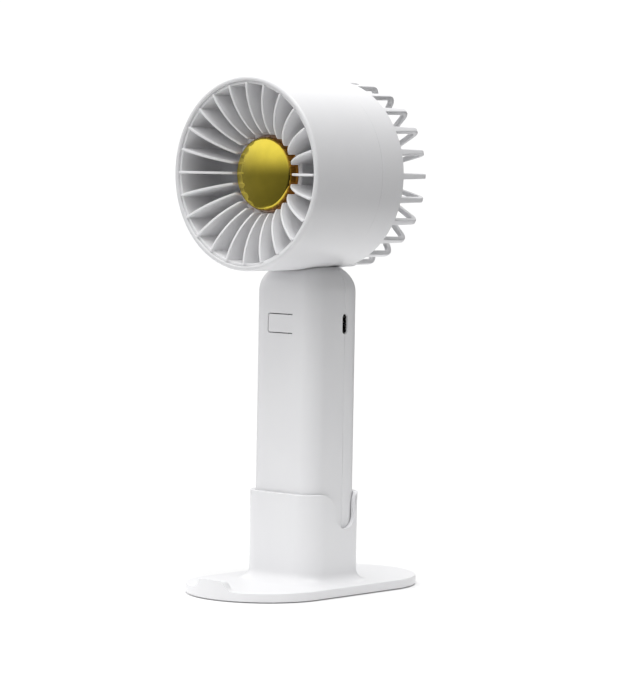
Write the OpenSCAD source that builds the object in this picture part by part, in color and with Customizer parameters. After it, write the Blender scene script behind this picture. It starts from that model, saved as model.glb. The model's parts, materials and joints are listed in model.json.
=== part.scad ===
/* [Head] */
// Outside diameter of the round head
head_d = 85; // [70:1:110]
// Wall of the head's barrel
head_wall = 2.2; // [1.6:0.1:3.2]
// Rounding of the barrel's front lip
lip_r = 1.4; // [0.5:0.1:2]
// Distance from the handle's axis forward to the lip
head_front = 42.5; // [34:0.5:55]
// Distance from the handle's axis back to the seam of the rear ring
head_seam_y = 0.6; // [0:0.1:3]
// Length of the rear ring behind the seam
ring_l = 15; // [12:0.5:24]
// How much narrower the rear ring's rear edge is, on the radius
ring_draft = 0.5; // [0:0.1:1]
// Height of the head's underside above the table
head_bottom = 142.5; // [134:0.5:190]

/* [Front grille] */
// Number of radial vanes
vane_count = 24; // [12:1:30]
// Thickness of a vane
vane_t = 1.1; // [0.8:0.1:1.8]
// How far a vane's front edge sinks between the lip and its tip
vane_sink = 11.2; // [6:0.2:14]
// How far a vane's tip goes into the hub cup's wall
tip_bite = 1.7; // [1:0.1:2]
// Depth of the vanes' rear edges behind the lip
vane_rear = 26; // [22:0.5:30]
// Thickness of the band that joins the vanes' outer ends
band_t = 1; // [0.8:0.1:1.6]
// Depth of the band's front edge behind the lip
band_drop = 1.2; // [0.5:0.1:3]
// Wall of the hub cup round the nose cap
hub_wall = 2.25; // [2.05:0.05:3.5]
// Depth of the hub cup's rim behind the lip
hub_rim = 16; // [12:0.5:20]
// Thickness of the hub cup's floor
hub_floor = 2; // [1.2:0.1:3]

/* [Nose cap] */
// Diameter of the nose cap at its foot
cap_d = 34.3; // [33:0.1:42]
// How much narrower the nose cap's shoulder is than its foot
cap_taper = 2.5; // [1:0.1:4]
// Height of the cap's sloping side
cap_side_h = 4; // [2:0.1:7]
// Height of the whole cap above the hub cup's rim
cap_h = 6.7; // [4:0.1:12]
// Wall of the nose cap
cap_wall = 1.2; // [0.8:0.1:2]
// Depth of the cap's skirt inside the hub cup
cap_skirt = 3; // [2:0.1:5]

/* [Rear cage] */
// Number of bars in the rear cage
bar_count = 24; // [12:1:30]
// Thickness of a bar, along the circle
bar_t = 2.4; // [1.4:0.1:3]
// Thickness of a bar, towards the axis
bar_depth = 2.4; // [1.6:0.1:4]
// How far the bars stand out behind the ring
cage_l = 18.4; // [12:0.2:26]
// Rounding of a bar's outer corner
cage_corner_r = 3.4; // [2.5:0.1:8]
// Diameter of the plate in the middle of the cage
cage_hub_d = 28; // [18:1:40]
// How far the rear ring's collar goes into the barrel
collar_l = 4; // [2:0.5:6]
// Wall of the rear ring's collar
collar_t = 1; // [0.8:0.1:1.4]

/* [Handle] */
// Width of the handle across its front
grip_w = 37; // [35:0.1:46]
// Depth of the handle from front to back
grip_d = 32.4; // [26:0.2:42]
// Rounding of the handle's upright edges
grip_corner_r = 7.5; // [5:0.1:10]
// Rounding of the handle's shoulders
shoulder_r = 13; // [8:0.5:13]
// Rounding of the handle's foot
foot_r = 3; // [2.2:0.1:5]
// Wall of the handle's shells
grip_wall = 1.8; // [1.4:0.1:2.4]
// Depth from the head's underside at which the shoulders start
shoulder_drop = 9.5; // [6:0.5:12]
// Distance of the shells' seam and the port behind the handle's axis
shell_seam_y = 4.75; // [2:0.05:8]
// Size of the square neck that joins the head to the handle
neck_w = 17.6; // [14:0.1:20]
// Wall of the neck
neck_wall = 2; // [1.4:0.1:3]
// Length of the neck below the head
neck_l = 10; // [7:0.5:14]

/* [Power key and port] */
// Length of the power key across the handle
key_w = 14.2; // [10:0.1:17]
// Height of the power key
key_h = 8; // [6:0.1:12]
// How far the key's middle is to the left of the handle's axis
key_left = 1.3; // [0:0.1:2]
// Depth of the key and the port below the head's underside
key_drop = 23.5; // [20:0.5:34]
// Slot round the key's three free sides
key_gap = 0.4; // [0.3:0.05:0.6]
// Line along which the key bends
key_root_gap = 0.08; // [0.05:0.01:0.2]
// Length of the port's opening, upright
port_l = 9.2; // [8.6:0.1:11]
// Width of the port's opening
port_w = 3.4; // [3.2:0.1:4.2]
// Depth of the charging socket
socket_l = 7.4; // [6.5:0.1:9]

/* [Battery and board] */
// Diameter of the cell
battery_d = 18.4; // [14:0.1:22.5]
// Length of the cell
battery_l = 65.2; // [50:0.1:70]
// Gap between the circuit board and the handle's side walls
board_gap = 3.7; // [2.5:0.1:4.5]
// Height of the circuit board
board_h = 36; // [30:0.5:40]
// Thickness of the circuit board
board_t = 1.2; // [0.8:0.1:1.6]
// Diameter of the fixing screws' shanks
screw_d = 1.8; // [1.4:0.1:2.2]

/* [Motor and impeller] */
// Outside diameter of the steel rotor can
can_d = 27; // [24:0.5:30]
// Length of the rotor can
can_l = 13.2; // [11:0.2:15]
// Diameter of the motor's shaft
shaft_d = 2; // [1.5:0.1:3]
// Outside diameter of a motor bearing
bearing_d = 5; // [4.5:0.1:7]
// Length of a motor bearing
bearing_l = 2.3; // [1.5:0.1:3]
// Diameter of the laminated core
core_d = 20; // [18:0.2:21]
// Number of teeth on the core
tooth_count = 9; // [6:1:12]
// Number of impeller blades
blade_count = 7; // [5:1:11]
// Length of a blade from its front edge to its rear edge
blade_chord = 21; // [14:0.5:24]
// Thickness of a blade
blade_t = 1.4; // [1:0.1:2]
// Angle between a blade and the plane in which it turns
blade_pitch = 34; // [20:1:40]
// Gap between the blades' tips and the barrel
tip_gap = 1.7; // [1.4:0.1:3]
// How much smaller the impeller's hub is than the hub cup, on the radius
hub_step = 0.3; // [0.1:0.1:1]

/* [Stand] */
// Length of the stand's plate from front to back
plate_l = 121; // [100:1:150]
// Width of the stand's plate
plate_w = 67; // [52:1:90]
// Thickness of the stand's plate
plate_t = 4; // [3:0.1:6]
// Wall of the socket post
post_wall = 2.15; // [1.8:0.05:3]
// Height of the post's top edge above the table
post_top = 44; // [38:0.5:60]
// Height above the table at which the handle rests
seat_h = 6.8; // [6:0.1:10]
// Clearance between the handle and the stand
stand_gap = 0.35; // [0.3:0.05:0.6]
// How far the post flares out where it meets the plate
post_flare = 3; // [2:0.1:5]
// Width of the side notch in the post
notch_w = 12; // [9:0.5:14]
// Depth of the side notch below the post's top edge
notch_h = 16; // [12:0.5:22]
// Width of the round shoulders on each side of the notch
notch_shoulder = 6; // [3:0.5:7]
// Width of the phone ledge at its foot
ledge_w = 21.5; // [14:0.5:40]
// Width of the phone ledge on top
ledge_top_w = 13; // [8:0.5:30]
// Height of the phone ledge above the plate
ledge_h = 4.4; // [3:0.1:8]
// Thickness of the phone ledge
ledge_t = 3; // [2:0.1:5]
// Diameter of a foot pad
pad_d = 9; // [6:0.5:14]
// How far a foot pad stands out under the plate
pad_out = 0.4; // [0.2:0.1:1]
// Depth of a foot pad's recess
pad_in = 0.8; // [0.5:0.1:1.5]

/* [Hidden] */
$fn = 64;

eps = 0.01;                                 // overshoot of a cut past a face
seat = 0.1;                                 // gap between parts that are fixed to each other
snug = 0.02;                                // gap between a bearing and what it holds
bite = 0.5;                                 // how far joined solids go into each other
shank_gap = 0.15;                           // clearance round a screw's shank
head_gap = 0.2;                             // clearance round a screw's head

head_r = head_d / 2;
bore_r = head_r - head_wall;                // inside of the barrel
lip_y = -head_front;
ring_y1 = head_seam_y + ring_l;
cage_y1 = ring_y1 + cage_l;
axis_h = head_bottom + head_r;

band_r = bore_r - seat;
hub_bore_r = cap_d / 2 + seat;
hub_r = hub_bore_r + hub_wall;
hub_y0 = lip_y + hub_rim;
vane_y1 = lip_y + vane_rear;
vane_tip_r = hub_r - tip_bite;
hub_tail = 1.5;                             // hub cup ends a little behind the vanes
hub_y1 = vane_y1 + hub_tail;
cap_shoulder_d = cap_d - cap_taper;
sweep_r0 = band_r + 0.7;                    // where the vanes' curve touches the lip plane
sweep_r = (pow(sweep_r0 - vane_tip_r, 2) + pow(vane_sink, 2)) / (2 * vane_sink);

neck_corner_r = 3;
neck_hole = neck_w - 2 * neck_wall;         // way for the wires
neck_hole_r = 1.2;

grip_z0 = seat_h;
grip_z1 = head_bottom - shoulder_drop + shoulder_r;
seam_gap = 0.1;                             // gap between the two handle shells
key_z = head_bottom - key_drop;
key_x0 = -key_left - key_w / 2;
front_in_y = -grip_d / 2 + grip_wall;       // inside face of the handle's front wall

battery_y = grip_d / 2 - grip_wall - 1.2 - battery_d / 2;
battery_z0 = grip_z0 + grip_wall + 4;
battery_z1 = battery_z0 + battery_l;
socket_set = 0.6;                           // how far the socket lies in from the handle's side
socket_w = port_l - 0.3;                    // metal shell of the charging socket
socket_t = port_w - 0.2;
board_y1 = shell_seam_y - socket_t / 2;     // board's rear face carries the socket
board_w = grip_w - 2 * (grip_wall + board_gap);
board_y0 = board_y1 - board_t;
board_z1 = head_bottom - neck_l - 1.5;
board_z0 = board_z1 - board_h;
screw_r = screw_d / 2;
screw_head_r = screw_d + 0.1;
screw_head_h = 1.2;
boss_wall = 2;
boss_r = screw_r + boss_wall;
boss_x = battery_d / 2 + 0.6 + boss_r;
head_in = boss_x + screw_head_r - grip_w / 2 + grip_corner_r;   // head's edge past the corner's middle
back_y = grip_d / 2 - grip_corner_r + sqrt(pow(grip_corner_r, 2) - pow(max(head_in, 0), 2));
head_cover = 0.38;                          // how far the heads lie below the rounded back
screw_seat_y = back_y - screw_head_h - head_cover;
boss_z = [battery_z0 + 6, battery_z1 + 5];
board_screw_x = board_w / 2 - 3;
board_screw_z = board_z0 + 3.5;

switch_size = 6;
switch_t = 3.6;
plunger_r = 1.7;
plunger_l = 1.5;
plunger_gap = 0.3;                          // between the key's stem and the plunger
switch_y0 = board_y0 - switch_t;
stem_r = 1.6;

mount_t = 1.5;                              // flange of the motor base
mount_y0 = hub_y1 + seat;
tube_r = bearing_d / 2 + 1.1;               // tube that holds the bearings
can_r = can_d / 2;
can_t = 0.8;
can_y0 = mount_y0 + mount_t + 0.6;
can_y1 = can_y0 + can_l;
magnet_t = 1.9;
core_r = core_d / 2;
core_y0 = can_y0 + 1.6;
core_y1 = can_y1 - 3.4;
tube_y1 = can_y1 - 2.2;
motor_screw_r = 10.2;                       // circle of the motor's screws
impeller_r = bore_r - tip_gap;
impeller_hub_r = hub_r - hub_step;
impeller_y0 = can_y0 - 0.2;
impeller_y1 = can_y1 + 8.6;
impeller_skin = 1.5;
blade_y = can_y1 + 2;                       // middle of the blades, behind the wires' way
lead_r = 0.7;                               // radius of an insulated wire

post_w = grip_w + 2 * (stand_gap + post_wall);
post_d = grip_d + 2 * (stand_gap + post_wall);
post_corner_r = grip_corner_r + stand_gap + post_wall;
plate_z0 = pad_out;
plate_z1 = plate_z0 + plate_t;
pad_y = plate_l / 2 - plate_w / 2 + 10;

module round_rect(w, d, r) {
    square([w - 2 * r, d], center = true);
    square([w, d - 2 * r], center = true);
    for (sx = [-1, 1], sy = [-1, 1])
        translate([sx * (w / 2 - r), sy * (d / 2 - r)])
            circle(r = r);
}

// Upright outline between two heights, rounded at the top and at the foot
module upright_outline(w, z0, z1, r_top, r_foot) {
    translate([-w / 2, z0 + r_foot])
        square([w, z1 - z0 - r_top - r_foot]);
    translate([-w / 2 + r_top, z1 - 2 * r_top])
        square([w - 2 * r_top, 2 * r_top]);
    translate([-w / 2 + r_foot, z0])
        square([w - 2 * r_foot, 2 * r_foot]);
    for (s = [-1, 1]) {
        translate([s * (w / 2 - r_top), z1 - r_top])
            circle(r = r_top);
        translate([s * (w / 2 - r_foot), z0 + r_foot])
            circle(r = r_foot);
    }
}

// The handle's outer form, or its hollow when set in by the wall
module grip_form(inset) {
    w = grip_w - 2 * inset;
    d = grip_d - 2 * inset;
    z0 = grip_z0 + inset;
    z1 = grip_z1 - inset;
    intersection() {
        translate([0, 0, z0])
            linear_extrude(z1 - z0)
                round_rect(w, d, grip_corner_r - inset);
        rotate([90, 0, 0])
            linear_extrude(d + 2, center = true)
                upright_outline(w, z0, z1, shoulder_r - inset, foot_r - inset);
        rotate([90, 0, 90])
            linear_extrude(w + 2, center = true)
                upright_outline(d, z0, z1, shoulder_r - inset, foot_r - inset);
    }
}

// Box that keeps what lies between two distances along Y
module slab(y0, y1) {
    size = 4 * head_d;
    translate([-size / 2, y0, -size / 2 + axis_h / 2])
        cube([size, y1 - y0, size]);
}

// Solid cylinder on the fan's axis between two distances along Y
module axle(r, y0, y1) {
    translate([0, y1, axis_h])
        rotate([90, 0, 0])
            cylinder(r = r, h = y1 - y0);
}

module tube(r_out, r_in, y0, y1) {
    difference() {
        axle(r_out, y0, y1);
        axle(r_in, y0 - 1, y1 + 1);
    }
}

// Turned shape on the fan's axis, its outline given as radius and distance behind the lip
module turned() {
    translate([0, lip_y, axis_h])
        rotate([-90, 0, 0])
            rotate_extrude()
                children();
}

// Places children around the fan's axis, each with its X axis pointing outwards
module around_axis(count, start = 0) {
    for (i = [0 : count - 1])
        translate([0, 0, axis_h])
            rotate([0, start + i * 360 / count, 0])
                children();
}

function unit(v) = v / norm(v);

// Direction of a wire at one of its points, halfway between the stretches that meet there
function bend_dir(p, i) =
    let (last = len(p) - 1)
    let (a = unit(p[max(i, 1)] - p[max(i, 1) - 1]))
    let (b = unit(p[min(i, last - 1) + 1] - p[min(i, last - 1)]))
    unit(a + b);

// Round wire of radius r through points that share one X, as rings joined into a tube
module wire_run(p, r, sides = 8) {
    last = len(p) - 1;
    rings = [
        for (i = [0 : last])
            let (d = bend_dir(p, i))
            let (into = unit(p[max(i, 1)] - p[max(i, 1) - 1]))
            let (side = cross(d, [1, 0, 0]))
            for (k = [0 : sides - 1])
                let (a = 360 * k / sides)
                p[i] + r * cos(a) * [1, 0, 0] + r * sin(a) / (d * into) * side
    ];
    walls = [
        for (i = [0 : last - 1], k = [0 : sides - 1])
            let (n = (k + 1) % sides)
            [i * sides + k, i * sides + n, (i + 1) * sides + n, (i + 1) * sides + k]
    ];
    start_cap = [for (k = [0 : sides - 1]) sides - 1 - k];
    end_cap = [for (k = [0 : sides - 1]) last * sides + k];
    polyhedron(points = rings, faces = concat(walls, [start_cap, end_cap]));
}

// Screw along Y, its head at y and its shank running forwards
module screw(x, y, z, l) {
    translate([x, y, z])
        rotate([90, 0, 0]) {
            difference() {
                translate([0, 0, -screw_head_h])
                    cylinder(r = screw_head_r, h = screw_head_h);
                for (a = [0, 90])
                    rotate(a)
                        translate([-screw_head_r * 0.6, -0.25, -screw_head_h - eps])
                            cube([screw_head_r * 1.2, 0.5, 0.8]);
            }
            cylinder(r = screw_r, h = l);
        }
}

// Square neck between the head and the handle, kept between two distances along Y
module neck(y0, y1) {
    intersection() {
        difference() {
            translate([0, 0, head_bottom - neck_l])
                linear_extrude(neck_l + head_wall + 0.6)
                    round_rect(neck_w, neck_w, neck_corner_r);
            translate([0, 0, head_bottom - neck_l - 1])
                linear_extrude(neck_l + 20)
                    round_rect(neck_hole, neck_hole, neck_hole_r);
            axle(bore_r + head_wall / 2, -head_d, head_d);
        }
        slab(y0, y1);
    }
}

// Way through the head's wall for the motor's wires
module neck_way() {
    translate([0, 0, head_bottom - 1])
        linear_extrude(head_wall + 4)
            round_rect(neck_hole, neck_hole, neck_hole_r);
}

module head_housing() {
    color("white") {
        difference() {
            turned()
                difference() {
                    union() {
                        translate([bore_r, lip_r])
                            square([head_wall, head_front + head_seam_y - lip_r]);
                        translate([bore_r, 0])
                            square([head_wall - lip_r, 2 * lip_r]);
                        translate([head_r - lip_r, lip_r])
                            circle(r = lip_r);
                    }
                    translate([0, -1])
                        square([bore_r, 2 * head_front]);
                }
            neck_way();
        }
        neck(-neck_w, head_seam_y);
    }
}

// One vane's outline, as radius and distance behind the lip
module vane_outline() {
    intersection() {
        translate([vane_tip_r, 0])
            square([band_r - band_t / 2 - vane_tip_r, vane_rear]);
        translate([sweep_r0, sweep_r])
            circle(r = sweep_r, $fn = 128);
    }
}

module front_grille() {
    color("white") {
        difference() {
            union() {
                tube(band_r, band_r - band_t, lip_y + band_drop, vane_y1);
                around_axis(vane_count)
                    translate([0, lip_y, vane_t / 2])
                        mirror([0, 0, 1])
                            linear_extrude(vane_t)
                                vane_outline();
                axle(hub_r, hub_y0, hub_y1);
            }
            axle(hub_bore_r, hub_y0 - hub_rim, hub_y1 - hub_floor);
            axle(tube_r + 0.3, hub_y1 - hub_floor - 1, hub_y1 + 1);
            around_axis(3, 30)
                translate([motor_screw_r, hub_y1 + 1, 0])
                    rotate([90, 0, 0])
                        cylinder(r = screw_r + 0.1, h = hub_floor + 2);
            // slot for the motor's wires
            translate([-3, hub_y1 - hub_floor - 3, axis_h - hub_r - 1])
                cube([6, 3, hub_r - hub_bore_r + 2.5]);
            translate([-5, vane_y1 - 2.6, axis_h - band_r - 1])
                cube([10, 4, band_t + 2]);
        }
    }
}

module nose_cap() {
    dome_sag = cap_h - cap_side_h;
    dome_r = (pow(cap_shoulder_d / 2, 2) + pow(dome_sag, 2)) / (2 * dome_sag);
    slope = (cap_d - cap_shoulder_d) / 2 / cap_side_h;
    color("goldenrod")
        translate([0, hub_y0, axis_h])
            rotate([90, 0, 0])
                difference() {
                    union() {
                        intersection() {
                            cylinder(r1 = cap_d / 2, r2 = cap_d / 2 - slope * cap_h, h = cap_h);
                            translate([0, 0, cap_h - dome_r])
                                sphere(r = dome_r);
                        }
                        translate([0, 0, -cap_skirt])
                            cylinder(r = cap_d / 2, h = cap_skirt);
                    }
                    translate([0, 0, -cap_skirt - 1])
                        cylinder(r = cap_shoulder_d / 2 - cap_wall - 0.6, h = cap_skirt + 1 + cap_side_h - cap_wall);
                }
}

// One bar of the cage, as radius and distance behind the ring
module bar_outline() {
    tip_r = head_r - ring_draft - 0.5;
    round_r = cage_corner_r;
    difference() {
        union() {
            translate([tip_r - bar_depth, -1.5])
                square([bar_depth, cage_l + 1.5 - round_r]);
            translate([cage_hub_d / 2 - 2, cage_l - bar_depth])
                square([tip_r - round_r - cage_hub_d / 2 + 2, bar_depth]);
            translate([tip_r - round_r, cage_l - round_r])
                intersection() {
                    circle(r = round_r);
                    square(round_r);
                }
        }
        translate([tip_r - round_r, cage_l - round_r])
            circle(r = round_r - bar_depth);
    }
}

module rear_grille() {
    color("white") {
        difference() {
            union() {
                translate([0, head_seam_y, axis_h])
                    rotate([-90, 0, 0])
                        cylinder(r1 = head_r, r2 = head_r - ring_draft, h = ring_l);
                axle(band_r, head_seam_y - collar_l, head_seam_y + 1);
            }
            axle(bore_r, head_seam_y + 2, ring_y1 + 1);
            axle(band_r - collar_t, head_seam_y - collar_l - 1, head_seam_y + 3);
            neck_way();
        }
        around_axis(bar_count)
            translate([0, ring_y1, bar_t / 2])
                mirror([0, 0, 1])
                    linear_extrude(bar_t)
                        bar_outline();
        axle(cage_hub_d / 2, cage_y1 - bar_depth, cage_y1);
        difference() {
            neck(head_seam_y + seat, neck_w);
            axle(head_r, head_seam_y - 1, head_seam_y + seat + eps);
        }
    }
}

// What both handle shells have in common before their own details
module grip_shell() {
    shelf_z = head_bottom - neck_l + 2;
    difference() {
        grip_form(0);
        difference() {
            grip_form(grip_wall);
            // shelf that holds the neck
            translate([-grip_w, -grip_d, shelf_z])
                cube([2 * grip_w, 2 * grip_d, 2]);
        }
        axle(head_r + seat, -head_d, head_d);
        translate([0, 0, head_bottom - neck_l - seat])
            linear_extrude(neck_l + 20)
                round_rect(neck_w + 2 * seat, neck_w + 2 * seat, neck_corner_r + seat);
        // charging port
        translate([0, shell_seam_y, key_z])
            rotate([90, 0, 90])
                linear_extrude(grip_w)
                    round_rect(port_w, port_l, port_w / 2 - eps);
    }
}

module shell_bosses(y0, y1) {
    intersection() {
        for (x = [-boss_x, boss_x], z = boss_z)
            translate([x, y1, z])
                rotate([90, 0, 0])
                    cylinder(r = boss_r, h = y1 - y0);
        grip_form(grip_wall / 2);
    }
}

module handle_front_shell() {
    y1 = shell_seam_y - seam_gap / 2;
    color("white") {
        difference() {
            union() {
                intersection() {
                    grip_shell();
                    slab(-grip_d, y1);
                }
                shell_bosses(front_in_y - bite, y1);
                for (x = [-board_screw_x, board_screw_x])
                    translate([x, board_y0 - seat, board_screw_z])
                        rotate([90, 0, 0])
                            cylinder(r = boss_r, h = board_y0 - seat - front_in_y + bite);
            }
            // pilot holes for the screws
            for (x = [-boss_x, boss_x], z = boss_z)
                translate([x, y1 + 1, z])
                    rotate([90, 0, 0])
                        cylinder(r = screw_r + snug, h = 10);
            for (x = [-board_screw_x, board_screw_x])
                translate([x, board_y0 + 1, board_screw_z])
                    rotate([90, 0, 0])
                        cylinder(r = screw_r + snug, h = 8);
            // window of the power key
            translate([key_x0 - key_gap, -grip_d, key_z - key_h / 2 - key_gap])
                cube([key_w + key_gap + key_root_gap, grip_d, key_h + 2 * key_gap]);
        }
    }
}

module handle_rear_shell() {
    y0 = shell_seam_y + seam_gap / 2;
    color("white") {
        difference() {
            union() {
                intersection() {
                    grip_shell();
                    slab(y0, grip_d);
                }
                shell_bosses(y0, grip_d / 2 - grip_wall + bite);
            }
            for (x = [-boss_x, boss_x], z = boss_z) {
                translate([x, grip_d, z])
                    rotate([90, 0, 0])
                        cylinder(r = screw_r + shank_gap, h = grip_d);
                translate([x, grip_d, z])
                    rotate([90, 0, 0])
                        cylinder(r = screw_head_r + head_gap, h = grip_d - screw_seat_y);
            }
        }
    }
}

module shell_screws() {
    color("silver")
        for (x = [-boss_x, boss_x], z = boss_z)
            screw(x, screw_seat_y, z, screw_seat_y - shell_seam_y + 7);
}

module circuit_board() {
    color("seagreen")
        difference() {
            translate([-board_w / 2, board_y0, board_z0])
                cube([board_w, board_t, board_h]);
            for (x = [-board_screw_x, board_screw_x])
                translate([x, board_y1 + 1, board_screw_z])
                    rotate([90, 0, 0])
                        cylinder(r = screw_r + shank_gap, h = board_t + 2);
        }
}

module board_screws() {
    color("silver")
        for (x = [-board_screw_x, board_screw_x])
            screw(x, board_y1 + 0.05, board_screw_z, board_t + 5);
}

// Chips and coil on the board's rear face
module board_parts() {
    color("dimgray") {
        translate([-8, board_y1, key_z - 3])
            cube([5, 1.1, 5]);
        translate([-9, board_y1, board_z0 + 11])
            cube([3, 1, 3]);
        translate([0, board_y1 + 2, board_z0 + 8])
            rotate([90, 0, 0])
                cylinder(r = 2.8, h = 2);
    }
}

module charge_led() {
    color("aliceblue")
        translate([board_w / 2 - 2.4, board_y1, key_z - socket_w / 2 - 3.4])
            cube([1.2, 0.7, 2]);
}

module usb_c_shell() {
    x1 = grip_w / 2 - socket_set;
    color("silver")
        translate([x1 - socket_l, board_y1 + socket_t / 2, key_z])
            rotate([90, 0, 90])
                difference() {
                    linear_extrude(socket_l)
                        round_rect(socket_t, socket_w, socket_t / 2 - eps);
                    translate([0, 0, 1])
                        linear_extrude(socket_l)
                            round_rect(socket_t - 0.6, socket_w - 0.6, socket_t / 2 - 0.3 - eps);
                }
}

module usb_c_tongue() {
    x1 = grip_w / 2 - socket_set - 0.8;
    color("black")
        translate([x1 - socket_l + 1.9, board_y1 + socket_t / 2 - 0.35, key_z - 3.3])
            cube([socket_l - 2, 0.7, 6.6]);
}

module switch_body() {
    color("black")
        difference() {
            translate([-key_left - switch_size / 2, switch_y0, key_z - switch_size / 2])
                cube([switch_size, switch_t, switch_size]);
            translate([-key_left, switch_y0 + 1.2, key_z])
                rotate([90, 0, 0])
                    cylinder(r = plunger_r + 0.3, h = 2);
        }
}

module switch_plunger() {
    color("ivory")
        translate([-key_left, switch_y0 + 0.6, key_z])
            rotate([90, 0, 0])
                cylinder(r = plunger_r, h = plunger_l + 0.6);
}

module power_key() {
    y0 = -grip_d / 2;
    stem_y1 = switch_y0 - plunger_l - plunger_gap;
    color("white") {
        translate([key_x0, y0, key_z - key_h / 2])
            cube([key_w, grip_wall, key_h]);
        translate([-key_left, stem_y1, key_z])
            rotate([90, 0, 0])
                cylinder(r = stem_r, h = stem_y1 - y0 - grip_wall / 2);
    }
}

module battery_cell() {
    color("steelblue") {
        translate([0, battery_y, battery_z0])
            cylinder(d = battery_d, h = battery_l);
        translate([0, battery_y, battery_z1 - eps])
            cylinder(r = 3.4, h = 1);
    }
}

module battery_tabs() {
    color("silver") {
        translate([-3, battery_y - 6, battery_z0 - 0.45])
            cube([6, 10, 0.4]);
        translate([-3, battery_y - 6, battery_z1 + 1.05])
            cube([6, 10, 0.4]);
    }
}

module battery_leads() {
    front_y = battery_y - battery_d / 2 - lead_r - 0.3;
    color("crimson") {
        wire_run([
            [1.6, battery_y - 6 + lead_r, battery_z1 + 1.45 + lead_r],
            [1.6, front_y, battery_z1 + 3],
            [1.6, board_y0 - lead_r - 0.1, board_z0 + 5]
        ], lead_r);
        wire_run([
            [-1.6, battery_y - 6 + lead_r, battery_z0 - 0.5 - lead_r],
            [-1.6, front_y, battery_z0 - 0.5 - lead_r],
            [-1.6, front_y, battery_z1 + 2],
            [-1.6, board_y0 - lead_r - 0.1, board_z0 + 5]
        ], lead_r);
    }
}

// Two wires from the driver board down through the neck to the circuit board
module motor_leads() {
    way_y = -neck_w / 2 + neck_wall + lead_r + 0.3;
    color("dimgray")
        for (x = [-vane_t / 2 - 1, vane_t / 2 + 1])
            wire_run([
                [x, hub_y1 - hub_floor - 1.5, axis_h - hub_bore_r + 2.4],
                [x, hub_y1 - hub_floor - 1.5, axis_h - hub_r - 2],
                [x, vane_y1 - 0.3, axis_h - bore_r + 3],
                [x, way_y, head_bottom + 3.4],
                [x, way_y, head_bottom - neck_l],
                [x, board_y0 - lead_r - 0.1, board_z1 - 2]
            ], lead_r);
}

module driver_board() {
    color("seagreen")
        tube(hub_bore_r - 1.6, tube_r + 0.8, hub_y1 - hub_floor - 4.6, hub_y1 - hub_floor - 3.6);
}

module motor_base() {
    color("silver")
        difference() {
            union() {
                axle(motor_screw_r + 2.2, mount_y0, mount_y0 + mount_t);
                axle(tube_r, mount_y0 - hub_floor, tube_y1);
            }
            axle(bearing_d / 2, mount_y0 - hub_floor - 1, tube_y1 + 1);
            around_axis(3, 30)
                translate([motor_screw_r, mount_y0 + mount_t + 1, 0])
                    rotate([90, 0, 0])
                        cylinder(r = screw_r + snug, h = mount_t + 2);
        }
}

module motor_screws() {
    color("silver")
        around_axis(3, 30)
            translate([motor_screw_r, 0, 0])
                rotate([0, 0, 180])
                    screw(0, -(hub_y1 - hub_floor - 0.05), 0, hub_floor + mount_t);
}

module motor_bearings() {
    color("lightgray")
        for (y = [mount_y0, tube_y1 - bearing_l])
            tube(bearing_d / 2 - snug, shaft_d / 2 + snug, y, y + bearing_l);
}

module core_outline() {
    step = 360 / tooth_count;
    difference() {
        union() {
            difference() {
                circle(r = tube_r + 2.2);
                circle(r = tube_r + snug);
            }
            difference() {
                circle(r = core_r);
                circle(r = core_r - 1.2);
            }
            for (i = [1 : tooth_count])
                rotate(i * step)
                    translate([tube_r + 1, -0.9])
                        square([core_r - tube_r - 1.6, 1.8]);
        }
        for (i = [1 : tooth_count])
            rotate((i + 0.5) * step)
                translate([core_r - 2, -0.5])
                    square([3, 1]);
    }
}

module stator_core() {
    color("gray")
        translate([0, core_y1, axis_h])
            rotate([90, 0, 0])
                linear_extrude(core_y1 - core_y0)
                    core_outline();
}

module stator_coils() {
    r0 = tube_r + 2.4;
    color("chocolate")
        around_axis(tooth_count)
            difference() {
                translate([r0, core_y0 - 0.8, -1.5])
                    cube([core_r - 1.5 - r0, core_y1 - core_y0 + 1.6, 3]);
                translate([r0 - 1, core_y0 - 0.05, -0.95])
                    cube([core_r, core_y1 - core_y0 + 0.1, 1.9]);
            }
}

module motor_shaft() {
    color("silver")
        axle(shaft_d / 2, mount_y0 - hub_floor + 0.4, impeller_y1 - impeller_skin + 0.4);
}

module shaft_clip() {
    y0 = mount_y0 - 0.9;
    color("dimgray")
        tube(bearing_d / 2 - 0.3, shaft_d / 2 + snug, y0, y0 + 0.5);
}

module rotor_can() {
    color("gray")
        difference() {
            union() {
                tube(can_r, can_r - can_t, can_y0, can_y1);
                tube(can_r, shaft_d / 2 + snug, can_y1 - can_t, can_y1);
                tube(shaft_d / 2 + 1.4, shaft_d / 2 + snug, can_y1 - 1.8, can_y1);
            }
            around_axis(3)
                translate([can_r - 5.5, can_y1 + 1, 0])
                    rotate([90, 0, 0])
                        cylinder(r = 1.8, h = 3);
        }
}

module rotor_magnet() {
    color("black")
        tube(can_r - can_t - snug, can_r - can_t - magnet_t, core_y0 - 0.4, core_y1 + 0.4);
}

module blade() {
    intersection() {
        rotate([0, 90, 0])
            linear_extrude(impeller_r + 5)
                rotate(blade_pitch)
                    square([blade_chord, blade_t], center = true);
        rotate([90, 0, 0])
            difference() {
                cylinder(r = impeller_r, h = 2 * blade_chord, center = true);
                cylinder(r = impeller_hub_r - impeller_skin / 2, h = 3 * blade_chord, center = true);
            }
    }
}

module impeller() {
    color("white") {
        tube(impeller_hub_r, impeller_hub_r - impeller_skin, impeller_y0, impeller_y1);
        tube(impeller_hub_r, shaft_d / 2 + snug, impeller_y1 - impeller_skin, impeller_y1);
        tube(can_r + snug + 1.2, can_r + snug, can_y0 + 2, impeller_y1);
        tube(shaft_d / 2 + 1.6, shaft_d / 2 + snug, can_y1 + 0.2, impeller_y1);
        around_axis(blade_count)
            translate([0, blade_y, 0])
                blade();
    }
}

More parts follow.
